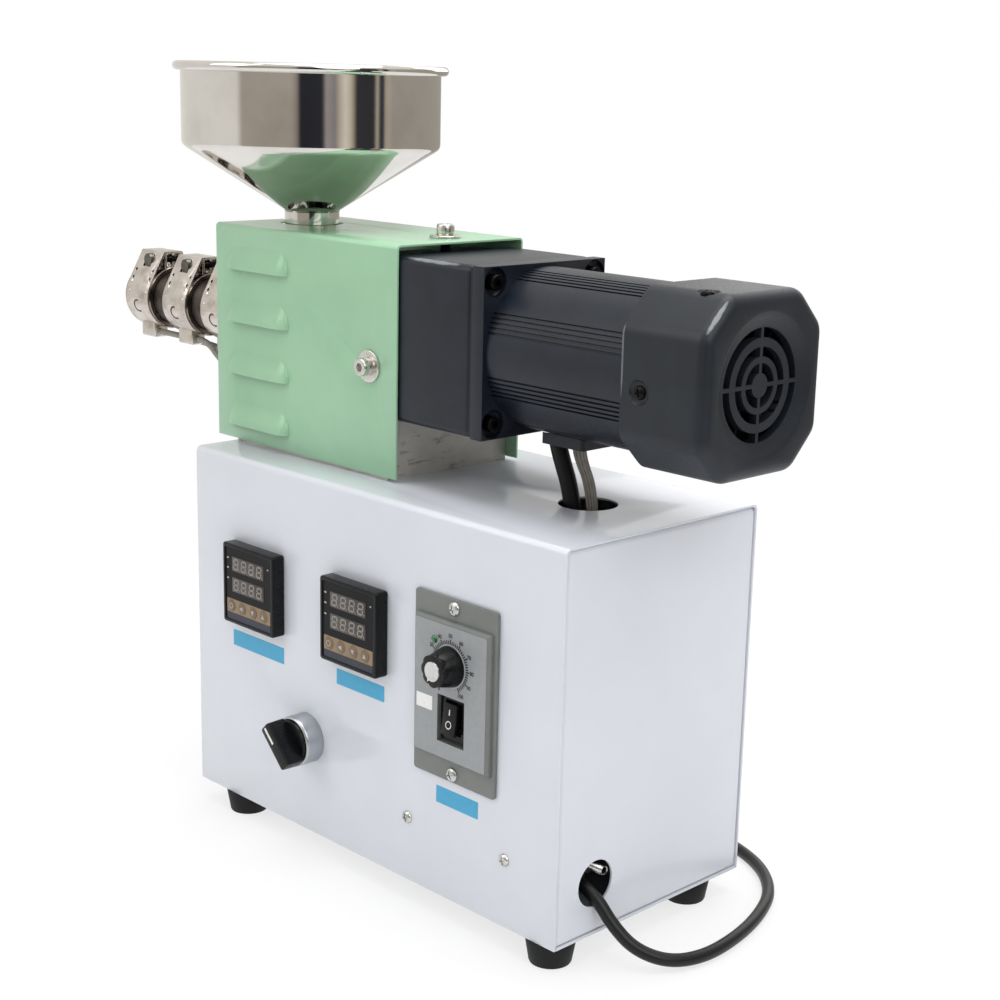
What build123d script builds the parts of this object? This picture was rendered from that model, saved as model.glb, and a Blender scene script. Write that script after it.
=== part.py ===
from build123d import *
import math
import os

os.makedirs("parts", exist_ok=True)

# Placing: the origin lies on the table, under the middle of the whole outline
cabinet_x = 58.25
machine_y = 10.8

# Sheet steel cabinet on four rubber feet
cabinet_length = 305.0
cabinet_depth = 147.0
cabinet_height = 210.0
cabinet_sheet = 1.2
cabinet_bend = 3.5
end_flange = 9.0
end_bend = 2.5
floor_sheet = 1.5
seam_gap = 0.3
foot_height = 13.5
foot_top_radius = 13.5
foot_sole_radius = 11.2
foot_sole_round = 1.2
foot_inset_left = 32.5
foot_inset_right = 13.7
foot_inset_front = 11.8
foot_inset_back = 28.0

floor_z = foot_height
top_z = foot_height + cabinet_height
front_y = machine_y - cabinet_depth / 2
back_y = machine_y + cabinet_depth / 2
left_x = cabinet_x - cabinet_length / 2
right_x = cabinet_x + cabinet_length / 2

# Holes for the motor leads in the top and for the cord in the right end
lead_hole_x_offset = 94.5
lead_hole_y_offset = 3.0
lead_hole_radius = 16.0
cord_hole_y_inset = 29.1
cord_hole_z = 42.0
cord_hole_radius = 12.6
nipple_radius = 2.9
nipple_bore = 1.9
nipple_y_offset = 8.9
nipple_z = 45.5
nipple_set_back = 2.0
nipple_collar_set_back = 12.0
nipple_length = 24.0
nipple_collar_radius = 5.0

# Two square temperature controllers in the front
controller_size = 48.0
controller_proud = 8.3
controller_round = 1.6
controller_face_inset = 0.6
controller_face_border = 2.2
controller_body = 44.4
controller_depth = 60.0
controller_cutout = 45.0
barrel_controller_x_offset = -91.6
barrel_controller_z = 149.9
feed_controller_x_offset = -1.2
feed_controller_z = 149.5

# Speed controller: plate, raised block, knob and rocker
plate_width = 61.9
plate_height = 99.9
plate_thickness = 2.0
plate_round = 1.0
plate_x_offset = 77.8
plate_z = 131.8
block_width = 57.0
block_height = 76.0
block_proud = 3.2
block_chamfer = 1.4
speed_body_width = 50.0
speed_body_height = 70.0
speed_body_depth = 42.0
speed_cutout_gap = 0.4
knob_z = 146.8
knob_skirt_radius = 10.9
knob_skirt_height = 7.0
knob_skirt_taper = 11.0
knob_radius = 8.9
knob_height = 11.9
knob_cap_radius = 5.4
knob_cap_height = 0.7
knob_scallops = 8
knob_scallop_radius = 2.4
knob_gap = 0.4
knob_spindle_radius = 3.0
knob_spindle_depth = 7.0
running_gap = 0.05
rocker_recess_z = 117.0
rocker_recess_width = 20.2
rocker_recess_height = 25.6
rocker_recess_depth = 3.6
rocker_frame_z = 117.4
rocker_frame_width = 19.6
rocker_frame_height = 24.0
rocker_frame_proud = 1.5
rocker_x_offset = 1.0
rocker_z = 118.4
rocker_well_width = 11.6
rocker_well_height = 18.4
rocker_well_depth = 9.0
rocker_gap = 0.7
rocker_lift = 0.4
rocker_tilt = 7.0
rocker_thickness = 6.5
rocker_edge = 4.5
rocker_back_inset = 0.8

# Selector switch
selector_x_offset = -46.5
selector_z = 70.7
selector_ring_radius = 14.5
selector_ring_proud = 11.5
selector_ring_round = 1.5
selector_well_radius = 12.9
selector_well_depth = 4.0
selector_base_gap = 0.4
selector_handle_reach = 24.0
selector_base_proud = 1.6
selector_base_round = 1.0
selector_blade_width = 8.6
selector_blade_half = 14.0
selector_angle = 45.0
selector_stem_radius = 4.0
selector_stem_depth = 6.0
selector_body_radius = 11.0
selector_body_depth = 34.0

# Aluminium base and housing that carry barrel and gearmotor
base_left_inset = 2.5
base_right_offset = -11.5
base_thickness = 9.0
housing_length = 35.5
housing_height = 121.0
feed_block_x_inset = 15.0
feed_block_length = 46.0
feed_block_width = 56.0
feed_block_height = 98.0
lead_grommet_x_inset = 14.0
lead_grommet_y_inset = 7.5
lead_grommet_radius = 6.4

# Barrel, nozzle and band heaters
barrel_rise = 69.5
barrel_radius = 17.0
feed_throat_length = 24.0
feed_throat_width = 20.0
feed_throat_round = 4.0
barrel_left_reach = 162.0
nozzle_flange_radius = 15.0
nozzle_flange = 6.0
nozzle_cone_length = 7.0
nozzle_tip_radius = 5.0
nozzle_bore = 2.2
band_width = 28.5
band_pitch = 42.6
band_first_x_inset = 17.0
band_count = 3
band_clearance = 0.3
band_heater_thickness = 2.2
band_strap_thickness = 1.2
band_lip = 0.8
ear_rise = 30.0
ear_half_width = 7.0
ear_edge = 1.0
ear_window = 8.0
ear_screw_radius = 2.6
ear_screw_half_length = 11.5
ear_screw_rise = 24.0
box_width = 16.0
box_near = -12.0
box_far = -2.0
box_drop = 26.5
box_top_drop = 15.0
heater_lead_radius = 2.0
heater_lead_drop = 23.0
lead_end_drop = 16.0

# Hopper and its neck
hopper_neck_radius = 16.2
hopper_wall = 1.0
hopper_bowl_radius = 75.0
hopper_cone_base = 137.3
hopper_cone_height = 37.2
hopper_bowl_height = 44.3
hopper_rim_radius = 3.2
neck_wall = 2.5

# Louvred sheet steel cover over housing and feed block
cover_left_reach = 17.0
cover_right_reach = 8.5
cover_lift = 2.0
cover_height = 127.5
cover_gap = 0.6
cover_sheet = 1.2
cover_bend = 2.5
cover_neck_gap = 2.5
louvre_count = 4
louvre_length = 57.0
louvre_height = 13.0
louvre_depth = 4.6
louvre_pitch = 30.9
louvre_x_inset = 41.0
louvre_rise = 104.0
cover_bolt_x_inset = -14.0
cover_bolt_rise = 62.0
cover_top_bolt_y_offset = 8.0
bolt_radius = 3.0
bolt_head_radius = 5.0
bolt_head_height = 6.0
bolt_depth = 10.0
washer_radius = 9.0
washer_thickness = 1.4

# Gearbox and motor
motor_rise = 79.0
motor_size = 90.0
gearbox_length = 65.0
gearbox_round = 2.5
flange_thickness = 8.5
flange_round = 3.0
flange_screw_inset = 8.2
flange_recess_radius = 7.5
flange_recess_depth = 4.0
flange_screw_radius = 4.2
flange_screw_head = 6.0
flange_screw_socket = 2.1
stator_inset = 1.8
stator_length = 98.0
groove_groups = 8
groove_per_group = 4
groove_pitch = 4.2
groove_width = 1.3
groove_depth = 0.9
fan_cover_seam = 95.0
fan_cover_length = 51.5
fan_cover_chamfer = 18.5
fan_cover_wall = 1.4
fan_cover_round = 4.0
fan_cover_end = 5.5
dish_radius = 34.0
grille_radius = 27.8
dish_depth = 3.5
grille_rings = [(27.8, 23.0), (18.6, 13.9), (10.8, 6.0)]
grille_rib = 2.0
fan_hub_radius = 10.0
fan_radius = 36.0
fan_depth = 14.0
fan_blades = 7
fan_blade_thickness = 1.6
fan_disc_thickness = 2.0
fan_shaft_radius = 4.0
fan_shaft_depth = 12.0
fan_end_gap = 6.0
lead_block_length = 30.0
lead_block_width = 26.0
lead_block_gap = 4.3
lead_block_x = 12.0
sleeve_radius = 4.6
braid_radius = 2.8

# Mains cord, its clamp inside, the coil that lies behind and the plug
cord_radius = 3.5
cord_clamp_x_inset = 39.0
cord_clamp_length = 12.0
cord_clamp_width = 20.0
cord_clamp_height = 34.0
cord_start_y_offset = -2.6
cord_start_z = 43.5
coil_x_inset = 196.5
coil_y_reach = 88.5
coil_turn_radius = 38.5
coil_round = 3.0
plug_set_out = 24.0
plug_lift = 0.2
plug_boot_length = 14.0
plug_boot_radius = 5.0
plug_length = 30.0
plug_width = 24.0
plug_thickness = 17.0
plug_pin_length = 17.0
plug_pin_width = 6.4
plug_pin_thickness = 1.5
plug_pin_pitch = 12.7

# Places worked out from the sizes above
base_width = motor_size
stator_radius = motor_size / 2 - stator_inset
flange_screw_pitch = motor_size - 2 * flange_screw_inset
lead_block_drop = stator_radius + lead_block_gap
lead_hole_x = cabinet_x + lead_hole_x_offset
lead_hole_y = machine_y + lead_hole_y_offset
cord_hole_y = front_y + cord_hole_y_inset
nipple_y = cord_hole_y + nipple_y_offset
barrel_controller_x = cabinet_x + barrel_controller_x_offset
feed_controller_x = cabinet_x + feed_controller_x_offset
plate_x = cabinet_x + plate_x_offset
rocker_x = plate_x + rocker_x_offset
selector_x = cabinet_x + selector_x_offset
base_left = left_x + base_left_inset
base_right = cabinet_x + base_right_offset
feed_block_x = base_left + feed_block_x_inset
hopper_x = feed_block_x
lead_grommet_x = base_left + lead_grommet_x_inset
lead_grommet_y = machine_y - base_width / 2 + lead_grommet_y_inset
barrel_left = base_left - barrel_left_reach
band_first_x = barrel_left + band_first_x_inset
cover_left = base_left - cover_left_reach
cover_right = base_right + cover_right_reach
louvre_x = cover_left + louvre_x_inset
cover_bolt_x = base_right + cover_bolt_x_inset
cover_top_bolt_y = machine_y + cover_top_bolt_y_offset
cord_clamp_x = right_x - cord_clamp_x_inset
cord_start_y = cord_hole_y + cord_start_y_offset
coil_x = right_x - coil_x_inset
coil_y = back_y + coil_y_reach
barrel_z = top_z + barrel_rise
motor_z = top_z + motor_rise
gearbox_left = base_right
flange_left = gearbox_left + gearbox_length
stator_left = flange_left + flange_thickness
seam_x = stator_left + fan_cover_seam
fan_cover_right = seam_x + fan_cover_length
half_motor = motor_size / 2
cover_bottom = top_z + cover_lift
cover_top = cover_bottom + cover_height
cover_half = half_motor + cover_gap + cover_sheet

# Planes that face out of the front, the right end and the top
front_plane = Plane(origin=(0, front_y, 0), x_dir=(1, 0, 0), z_dir=(0, -1, 0))
end_plane = Plane(origin=(right_x, 0, 0), x_dir=(0, 1, 0), z_dir=(1, 0, 0))
top_plane = Plane(origin=(0, 0, top_z), x_dir=(1, 0, 0), z_dir=(0, 0, 1))


def across(x):
    """A plane at x that faces +X, with its x along the depth and its y upwards."""
    return Plane(origin=(x, machine_y, 0), x_dir=(0, 1, 0), z_dir=(1, 0, 0))


# Cabinet: front, top and back are one folded sheet
with BuildPart() as cabinet_shell:
    with BuildSketch(across(left_x)) as shell_profile:
        with Locations((0, floor_z + cabinet_height / 2)):
            Rectangle(cabinet_depth, cabinet_height)
        fillet(shell_profile.vertices().group_by(Axis.Y)[-1], cabinet_bend)
    extrude(amount=cabinet_length)
    with BuildSketch(across(left_x)) as shell_hollow:
        with Locations((0, floor_z + (cabinet_height - cabinet_sheet) / 2)):
            Rectangle(cabinet_depth - 2 * cabinet_sheet, cabinet_height - cabinet_sheet)
        fillet(shell_hollow.vertices().group_by(Axis.Y)[-1], cabinet_bend - cabinet_sheet)
    extrude(amount=cabinet_length, mode=Mode.SUBTRACT)
    with BuildSketch(front_plane):
        with Locations((barrel_controller_x, barrel_controller_z), (feed_controller_x, feed_controller_z)):
            Rectangle(controller_cutout, controller_cutout)
        with Locations((plate_x, plate_z)):
            Rectangle(speed_body_width + 2 * speed_cutout_gap, speed_body_height + 2 * speed_cutout_gap)
        with Locations((selector_x, selector_z)):
            Circle(selector_body_radius + seam_gap)
    extrude(amount=-2 * cabinet_sheet, mode=Mode.SUBTRACT)
    with BuildSketch(top_plane):
        with Locations((lead_hole_x, lead_hole_y)):
            Circle(lead_hole_radius)
        with Locations((lead_grommet_x, lead_grommet_y)):
            Circle(lead_grommet_radius)
    extrude(amount=-2 * cabinet_sheet, mode=Mode.SUBTRACT)

end_width = cabinet_depth - 2 * cabinet_sheet - 2 * seam_gap
end_height = cabinet_height - cabinet_sheet - floor_sheet - seam_gap
end_bottom = floor_z + floor_sheet


def end_panel(inner_x, outward, holes):
    """A flanged tray that closes one end of the folded sheet, with its (y, z, radius) holes."""
    plane = Plane(origin=(inner_x, machine_y, 0), x_dir=(0, outward, 0), z_dir=(outward, 0, 0))
    with BuildPart() as panel:
        with BuildSketch(plane) as panel_profile:
            with Locations((0, end_bottom + end_height / 2)):
                Rectangle(end_width, end_height)
            fillet(panel_profile.vertices().group_by(Axis.Y)[-1], cabinet_bend)
        extrude(amount=end_flange)
        outer = panel.faces().sort_by(Axis.X)[-1 if outward > 0 else 0]
        fillet(outer.edges(), end_bend)
        inner = panel.faces().sort_by(Axis.X)[0 if outward > 0 else -1]
        offset(amount=-cabinet_sheet, openings=inner)
        for hole_y, hole_z, hole_radius in holes:
            with BuildSketch(plane.offset(end_flange)):
                with Locations((outward * (hole_y - machine_y), hole_z)):
                    Circle(hole_radius)
            extrude(amount=-2 * cabinet_sheet, mode=Mode.SUBTRACT)
    return panel


cabinet_left_end = end_panel(left_x + end_flange, -1, [])
cabinet_right_end = end_panel(right_x - end_flange, 1, [(cord_hole_y, cord_hole_z, cord_hole_radius)])

with BuildPart() as cabinet_floor:
    with BuildSketch(Plane.XY.offset(floor_z)):
        with Locations((cabinet_x, machine_y)):
            Rectangle(cabinet_length, cabinet_depth - 2 * cabinet_sheet - 2 * seam_gap)
    extrude(amount=floor_sheet)


def rubber_foot(x, y):
    """A tapered rubber foot under the cabinet floor."""
    with BuildPart() as foot:
        with BuildSketch(Plane(origin=(x, y, 0), x_dir=(1, 0, 0), z_dir=(0, -1, 0))):
            with BuildLine():
                Polyline((0, 0), (foot_sole_radius, 0), (foot_top_radius, foot_height), (0, foot_height), close=True)
            make_face()
        revolve(axis=Axis((x, y, 0), (0, 0, 1)))
        fillet(foot.faces().sort_by(Axis.Z)[0].edges(), foot_sole_round)
    return foot


foot_front_left = rubber_foot(left_x + foot_inset_left, front_y + foot_inset_front)
foot_front_right = rubber_foot(right_x - foot_inset_right, front_y + foot_inset_front)
foot_back_left = rubber_foot(left_x + foot_inset_left, back_y - foot_inset_back)
foot_back_right = rubber_foot(right_x - foot_inset_right, back_y - foot_inset_back)


def controller(x, z):
    """A panel controller: square bezel in front, case behind the sheet."""
    with BuildPart() as unit:
        with BuildSketch(front_plane):
            with Locations((x, z)):
                RectangleRounded(controller_size, controller_size, controller_round)
        extrude(amount=controller_proud)
        fillet(unit.faces().sort_by(Axis.Y)[0].edges(), controller_round / 2)
        face = controller_size - 2 * controller_face_border
        with BuildSketch(front_plane.offset(controller_proud)):
            with Locations((x, z)):
                RectangleRounded(face, face, controller_round)
        extrude(amount=-controller_face_inset, mode=Mode.SUBTRACT)
        with BuildSketch(front_plane):
            with Locations((x, z)):
                Rectangle(controller_body, controller_body)
        extrude(amount=-controller_depth)
    return unit


barrel_controller = controller(barrel_controller_x, barrel_controller_z)
feed_controller = controller(feed_controller_x, feed_controller_z)

# Speed controller plate, with the well of the rocker switch
block_front = plate_thickness + block_proud
with BuildPart() as speed_plate:
    with BuildSketch(front_plane):
        with Locations((plate_x, plate_z)):
            RectangleRounded(plate_width, plate_height, plate_round)
    extrude(amount=plate_thickness)
    with BuildSketch(front_plane.offset(plate_thickness)):
        with Locations((plate_x, plate_z)):
            Rectangle(block_width, block_height)
    extrude(amount=block_proud)
    chamfer(speed_plate.faces().sort_by(Axis.Y)[0].edges(), block_chamfer)
    with BuildSketch(front_plane):
        with Locations((plate_x, plate_z)):
            Rectangle(speed_body_width, speed_body_height)
    extrude(amount=-speed_body_depth)
    with BuildSketch(front_plane.offset(block_front)):
        with Locations((rocker_x, rocker_recess_z)):
            Rectangle(rocker_recess_width, rocker_recess_height)
    extrude(amount=-rocker_recess_depth, mode=Mode.SUBTRACT)
    with BuildSketch(front_plane.offset(block_front - rocker_recess_depth)):
        with Locations((rocker_x, rocker_frame_z)):
            Rectangle(rocker_frame_width, rocker_frame_height)
    extrude(amount=rocker_frame_proud)
    with BuildSketch(front_plane.offset(block_front)):
        with Locations((rocker_x, rocker_z)):
            Rectangle(rocker_well_width, rocker_well_height)
    extrude(amount=-rocker_well_depth, mode=Mode.SUBTRACT)
    with BuildSketch(front_plane.offset(block_front)):
        with Locations((plate_x, knob_z)):
            Circle(knob_spindle_radius + running_gap)
    extrude(amount=-knob_spindle_depth - knob_gap, mode=Mode.SUBTRACT)

knob_base = block_front + knob_gap
with BuildPart() as speed_knob:
    with BuildSketch(front_plane.offset(knob_base)):
        with Locations((plate_x, knob_z)):
            Circle(knob_skirt_radius)
    extrude(amount=knob_skirt_height, taper=knob_skirt_taper)
    with BuildSketch(front_plane.offset(knob_base)):
        with Locations((plate_x, knob_z)):
            Circle(knob_radius)
            with PolarLocations(knob_radius + knob_scallop_radius / 2, knob_scallops):
                Circle(knob_scallop_radius, mode=Mode.SUBTRACT)
    extrude(amount=knob_height)
    with BuildSketch(front_plane.offset(knob_base + knob_height)):
        with Locations((plate_x, knob_z)):
            Circle(knob_cap_radius)
    extrude(amount=knob_cap_height)
    with BuildSketch(front_plane.offset(knob_base)):
        with Locations((plate_x, knob_z)):
            Circle(knob_spindle_radius)
    extrude(amount=-knob_spindle_depth)

# Rocker: a wedge that lies aslant in its well, with its lower half out
rocker_half = rocker_well_height / 2 - rocker_gap
rocker_width = rocker_well_width - 2 * rocker_gap
rocker_rise = rocker_half * math.tan(math.radians(rocker_tilt))
rocker_face = block_front + rocker_lift
with BuildPart() as power_rocker:
    with BuildSketch(Plane(origin=(rocker_x, front_y, 0), x_dir=(0, -1, 0), z_dir=(-1, 0, 0))):
        with BuildLine():
            Polyline(
                (rocker_face, rocker_z + rocker_half),
                (rocker_face + 2 * rocker_rise, rocker_z - rocker_half),
                (rocker_face + 2 * rocker_rise - rocker_edge, rocker_z - rocker_half + rocker_back_inset),
                (rocker_face - rocker_thickness, rocker_z),
                (rocker_face - rocker_edge, rocker_z + rocker_half - rocker_back_inset),
                close=True,
            )
        make_face()
    extrude(amount=rocker_width / 2, both=True)

# Selector switch: polished ring with its case behind, and a turning handle
with BuildPart() as selector_ring:
    with BuildSketch(front_plane):
        with Locations((selector_x, selector_z)):
            Circle(selector_ring_radius)
    extrude(amount=selector_ring_proud)
    fillet(selector_ring.faces().sort_by(Axis.Y)[0].edges(), selector_ring_round)
    with BuildSketch(front_plane.offset(selector_ring_proud)):
        with Locations((selector_x, selector_z)):
            Circle(selector_well_radius)
    extrude(amount=-selector_well_depth, mode=Mode.SUBTRACT)
    with BuildSketch(front_plane):
        with Locations((selector_x, selector_z)):
            Circle(selector_body_radius)
    extrude(amount=-selector_body_depth)
    with BuildSketch(front_plane.offset(selector_ring_proud - selector_well_depth)):
        with Locations((selector_x, selector_z)):
            Circle(selector_stem_radius + running_gap)
    extrude(amount=-selector_stem_depth - selector_base_gap, mode=Mode.SUBTRACT)

handle_base = selector_ring_proud - selector_well_depth + selector_base_gap
with BuildPart() as selector_handle:
    with BuildSketch(front_plane.offset(handle_base)):
        with Locations((selector_x, selector_z)):
            Circle(selector_well_radius - selector_base_gap)
    extrude(amount=selector_ring_proud + selector_base_proud - handle_base)
    fillet(selector_handle.faces().sort_by(Axis.Y)[0].edges(), selector_base_round)
    with BuildSketch(front_plane.offset(selector_ring_proud + selector_base_gap)):
        with Locations(Location((selector_x, selector_z, 0), (0, 0, 90 + selector_angle))):
            SlotOverall(2 * selector_blade_half, selector_blade_width)
    extrude(amount=selector_handle_reach - selector_ring_proud - selector_base_gap)
    with BuildSketch(front_plane.offset(handle_base)):
        with Locations((selector_x, selector_z)):
            Circle(selector_stem_radius)
    extrude(amount=-selector_stem_depth)

# Water nipple seen through the cord hole
with BuildPart() as water_nipple:
    with BuildSketch(end_plane.offset(-nipple_set_back)):
        with Locations((nipple_y, nipple_z)):
            Circle(nipple_radius)
            Circle(nipple_bore, mode=Mode.SUBTRACT)
    extrude(amount=-nipple_length)
    with BuildSketch(end_plane.offset(-nipple_collar_set_back)):
        with Locations((nipple_y, nipple_z)):
            RegularPolygon(nipple_collar_radius, 6)
            Circle(nipple_bore, mode=Mode.SUBTRACT)
    extrude(amount=-nipple_length + nipple_collar_set_back)

# Aluminium base plate, housing and feed block under the cover
with BuildPart() as base_plate:
    with BuildSketch(top_plane):
        with Locations(((base_left + base_right) / 2, machine_y)):
            Rectangle(base_right - base_left, base_width)
        with Locations((lead_grommet_x, lead_grommet_y)):
            Circle(lead_grommet_radius, mode=Mode.SUBTRACT)
    extrude(amount=base_thickness)

barrel_start = base_right - housing_length
with BuildPart() as bearing_housing:
    with BuildSketch(across(barrel_start)):
        with Locations((0, top_z + (housing_height + base_thickness) / 2)):
            Rectangle(base_width, housing_height - base_thickness)
        with Locations((0, barrel_z)):
            Circle(barrel_radius + seam_gap, mode=Mode.SUBTRACT)
    extrude(amount=housing_length)
    with BuildSketch(across(base_right)):
        with Locations((0, barrel_z)):
            Circle(barrel_radius + seam_gap)
    extrude(amount=-housing_length / 2)
    with BuildSketch(top_plane.offset(housing_height)):
        with Locations((cover_bolt_x, cover_top_bolt_y)):
            Circle(bolt_radius)
    extrude(amount=-bolt_depth, mode=Mode.SUBTRACT)
    for side in (-1, 1):
        side_plane = Plane(
            origin=(0, machine_y + side * base_width / 2, 0), x_dir=(-side, 0, 0), z_dir=(0, side, 0)
        )
        with BuildSketch(side_plane):
            with Locations((-side * cover_bolt_x, top_z + cover_bolt_rise)):
                Circle(bolt_radius)
        extrude(amount=-bolt_depth, mode=Mode.SUBTRACT)

with BuildPart() as feed_block:
    with BuildSketch(top_plane.offset(base_thickness)):
        with Locations((feed_block_x, machine_y)):
            Rectangle(feed_block_length, feed_block_width)
    extrude(amount=feed_block_height - base_thickness)
    with BuildSketch(across(feed_block_x - feed_block_length)):
        with Locations((0, barrel_z)):
            Circle(barrel_radius + seam_gap)
    extrude(amount=2 * feed_block_length, mode=Mode.SUBTRACT)
    with BuildSketch(top_plane.offset(feed_block_height)):
        with Locations((feed_block_x, machine_y)):
            Circle(hopper_neck_radius - neck_wall)
    extrude(amount=-(feed_block_height - barrel_rise), mode=Mode.SUBTRACT)

# Barrel with its feed throat, and the nozzle
with BuildPart() as barrel:
    with BuildSketch(across(barrel_left)):
        with Locations((0, barrel_z)):
            Circle(barrel_radius)
    extrude(amount=barrel_start + housing_length / 2 - barrel_left)
    with BuildSketch(Plane.XY.offset(barrel_z)):
        with Locations((feed_block_x, machine_y)):
            RectangleRounded(feed_throat_length, feed_throat_width, feed_throat_round)
    extrude(amount=2 * barrel_radius, mode=Mode.SUBTRACT)

with BuildPart() as nozzle:
    with BuildSketch(Plane(origin=(barrel_left, machine_y, barrel_z), x_dir=(-1, 0, 0), z_dir=(0, -1, 0))):
        with BuildLine():
            Polyline(
                (0, nozzle_bore),
                (0, nozzle_flange_radius),
                (nozzle_flange, nozzle_flange_radius),
                (nozzle_flange + nozzle_cone_length, nozzle_tip_radius),
                (nozzle_flange + nozzle_cone_length, nozzle_bore),
                close=True,
            )
        make_face()
    revolve(axis=Axis((barrel_left, machine_y, barrel_z), (1, 0, 0)))

heater_inner = barrel_radius + band_clearance
heater_outer = heater_inner + band_heater_thickness
strap_outer = heater_outer + band_strap_thickness


def ear_profile(radius, inset):
    """The strap's outline: a circle drawn up to the two flat ears at its top."""
    with BuildSketch(mode=Mode.PRIVATE) as outline:
        Circle(radius)
        with BuildSketch(mode=Mode.PRIVATE) as cap:
            with Locations((0, ear_rise - inset - ear_edge / 2)):
                Rectangle(2 * (ear_half_width - inset), ear_edge)
        add(cap.sketch)
        make_hull()
    return outline.sketch


def heater_band(centre_x):
    """A band heater: lipped heating ring, eared strap, clamp screw and terminal box."""
    left = centre_x - band_width / 2
    side = Plane(origin=(centre_x, machine_y, barrel_z), x_dir=(1, 0, 0), z_dir=(0, -1, 0))
    with BuildPart() as band:
        with BuildSketch(across(left + band_lip)):
            with Locations((0, barrel_z)):
                add(ear_profile(strap_outer, 0))
        extrude(amount=band_width - 2 * band_lip)
        with BuildSketch(across(left)):
            with Locations((0, barrel_z)):
                add(ear_profile(heater_outer, band_strap_thickness))
        extrude(amount=band_width, mode=Mode.SUBTRACT)
        with BuildSketch(across(left)):
            with Locations((0, barrel_z)):
                Circle(heater_outer)
        extrude(amount=band_width)
        with BuildSketch(side):
            with Locations((0, ear_screw_rise)):
                Rectangle(ear_window, ear_window)
        extrude(amount=2 * ear_rise, mode=Mode.SUBTRACT)
        with BuildSketch(side):
            with Locations((0, ear_screw_rise)):
                Circle(ear_screw_radius)
        extrude(amount=ear_screw_half_length, both=True)
        with BuildSketch(side.offset(-box_far)):
            with Locations((0, -(box_drop + box_top_drop) / 2)):
                Rectangle(box_width, box_drop - box_top_drop)
        extrude(amount=box_far - box_near)
        with BuildSketch(across(left)):
            with Locations((0, barrel_z)):
                Circle(heater_inner)
        extrude(amount=band_width, mode=Mode.SUBTRACT)
    return band


heater_bands = [heater_band(band_first_x + index * band_pitch) for index in range(band_count)]

# Hopper: rolled rim, straight bowl and cone in one spun shell
cone_z = top_z + hopper_cone_base
bowl_z = cone_z + hopper_cone_height
rim_z = bowl_z + hopper_bowl_height
hopper_side = Plane(origin=(hopper_x, machine_y, 0), x_dir=(1, 0, 0), z_dir=(0, -1, 0))
with BuildPart() as hopper:
    with BuildSketch(hopper_side):
        with BuildLine():
            Polyline(
                (hopper_neck_radius - hopper_wall, cone_z),
                (hopper_neck_radius, cone_z),
                (hopper_bowl_radius, bowl_z),
                (hopper_bowl_radius, rim_z),
                (hopper_bowl_radius - hopper_wall, rim_z),
                (hopper_bowl_radius - hopper_wall, bowl_z + hopper_wall / 2),
                close=True,
            )
        make_face()
        with Locations((hopper_bowl_radius + hopper_rim_radius - hopper_wall, rim_z)):
            Circle(hopper_rim_radius)
    revolve(axis=Axis((hopper_x, machine_y, 0), (0, 0, 1)))

with BuildPart() as hopper_neck:
    with BuildSketch(top_plane.offset(feed_block_height)):
        with Locations((hopper_x, machine_y)):
            Circle(hopper_neck_radius)
            Circle(hopper_neck_radius - neck_wall, mode=Mode.SUBTRACT)
    extrude(amount=hopper_cone_base - feed_block_height)


def louvre_profile(thickness):
    """Section of a louvre that bulges out of the sheet and is open below, drawn smaller by a thickness."""
    with BuildSketch(mode=Mode.PRIVATE) as outline:
        with BuildLine():
            bottom = -thickness
            out = louvre_depth - thickness
            Polyline(
                (-cover_sheet - thickness, bottom),
                (out, bottom),
                (out, louvre_height / 4 - thickness),
                (out * 0.7, louvre_height * 0.65 - thickness),
                (-cover_sheet * (thickness > 0), louvre_height - thickness),
                (-cover_sheet - thickness, louvre_height - thickness),
                close=True,
            )
        make_face()
    return outline.sketch


# Cover: folded sheet open at both ends, with pressed louvres on each side
with BuildPart() as cover:
    with BuildSketch(across(cover_left)) as cover_profile:
        with Locations((0, (cover_bottom + cover_top) / 2)):
            Rectangle(2 * cover_half, cover_height)
        fillet(cover_profile.vertices().group_by(Axis.Y)[-1], cover_bend)
    extrude(amount=cover_right - cover_left)
    with BuildSketch(across(cover_left)) as cover_hollow:
        with Locations((0, (cover_bottom + cover_top - cover_sheet) / 2)):
            Rectangle(2 * (cover_half - cover_sheet), cover_height - cover_sheet)
        fillet(cover_hollow.vertices().group_by(Axis.Y)[-1], cover_bend - cover_sheet)
    extrude(amount=cover_right - cover_left, mode=Mode.SUBTRACT)
    for side in (-1, 1):
        louvre_plane = Plane(origin=(louvre_x, machine_y, 0), x_dir=(0, side, 0), z_dir=(side, 0, 0))
        for thickness, mode in ((0, Mode.ADD), (cover_sheet, Mode.SUBTRACT)):
            with BuildSketch(louvre_plane):
                for row in range(louvre_count):
                    with Locations((cover_half, top_z + louvre_rise - row * louvre_pitch)):
                        add(louvre_profile(thickness))
            extrude(amount=louvre_length / 2 - thickness, both=True, mode=mode)
    with BuildSketch(Plane.XY.offset(cover_top)):
        with Locations((hopper_x, machine_y)):
            Circle(hopper_neck_radius + cover_neck_gap)
        with Locations((cover_bolt_x, cover_top_bolt_y)):
            Circle(bolt_radius + seam_gap)
    extrude(amount=-2 * cover_sheet, mode=Mode.SUBTRACT)
    for side in (-1, 1):
        side_plane = Plane(
            origin=(0, machine_y + side * cover_half, 0), x_dir=(-side, 0, 0), z_dir=(0, side, 0)
        )
        with BuildSketch(side_plane):
            with Locations((-side * cover_bolt_x, top_z + cover_bolt_rise)):
                Circle(bolt_radius + seam_gap)
        extrude(amount=-2 * cover_sheet, mode=Mode.SUBTRACT)


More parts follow.
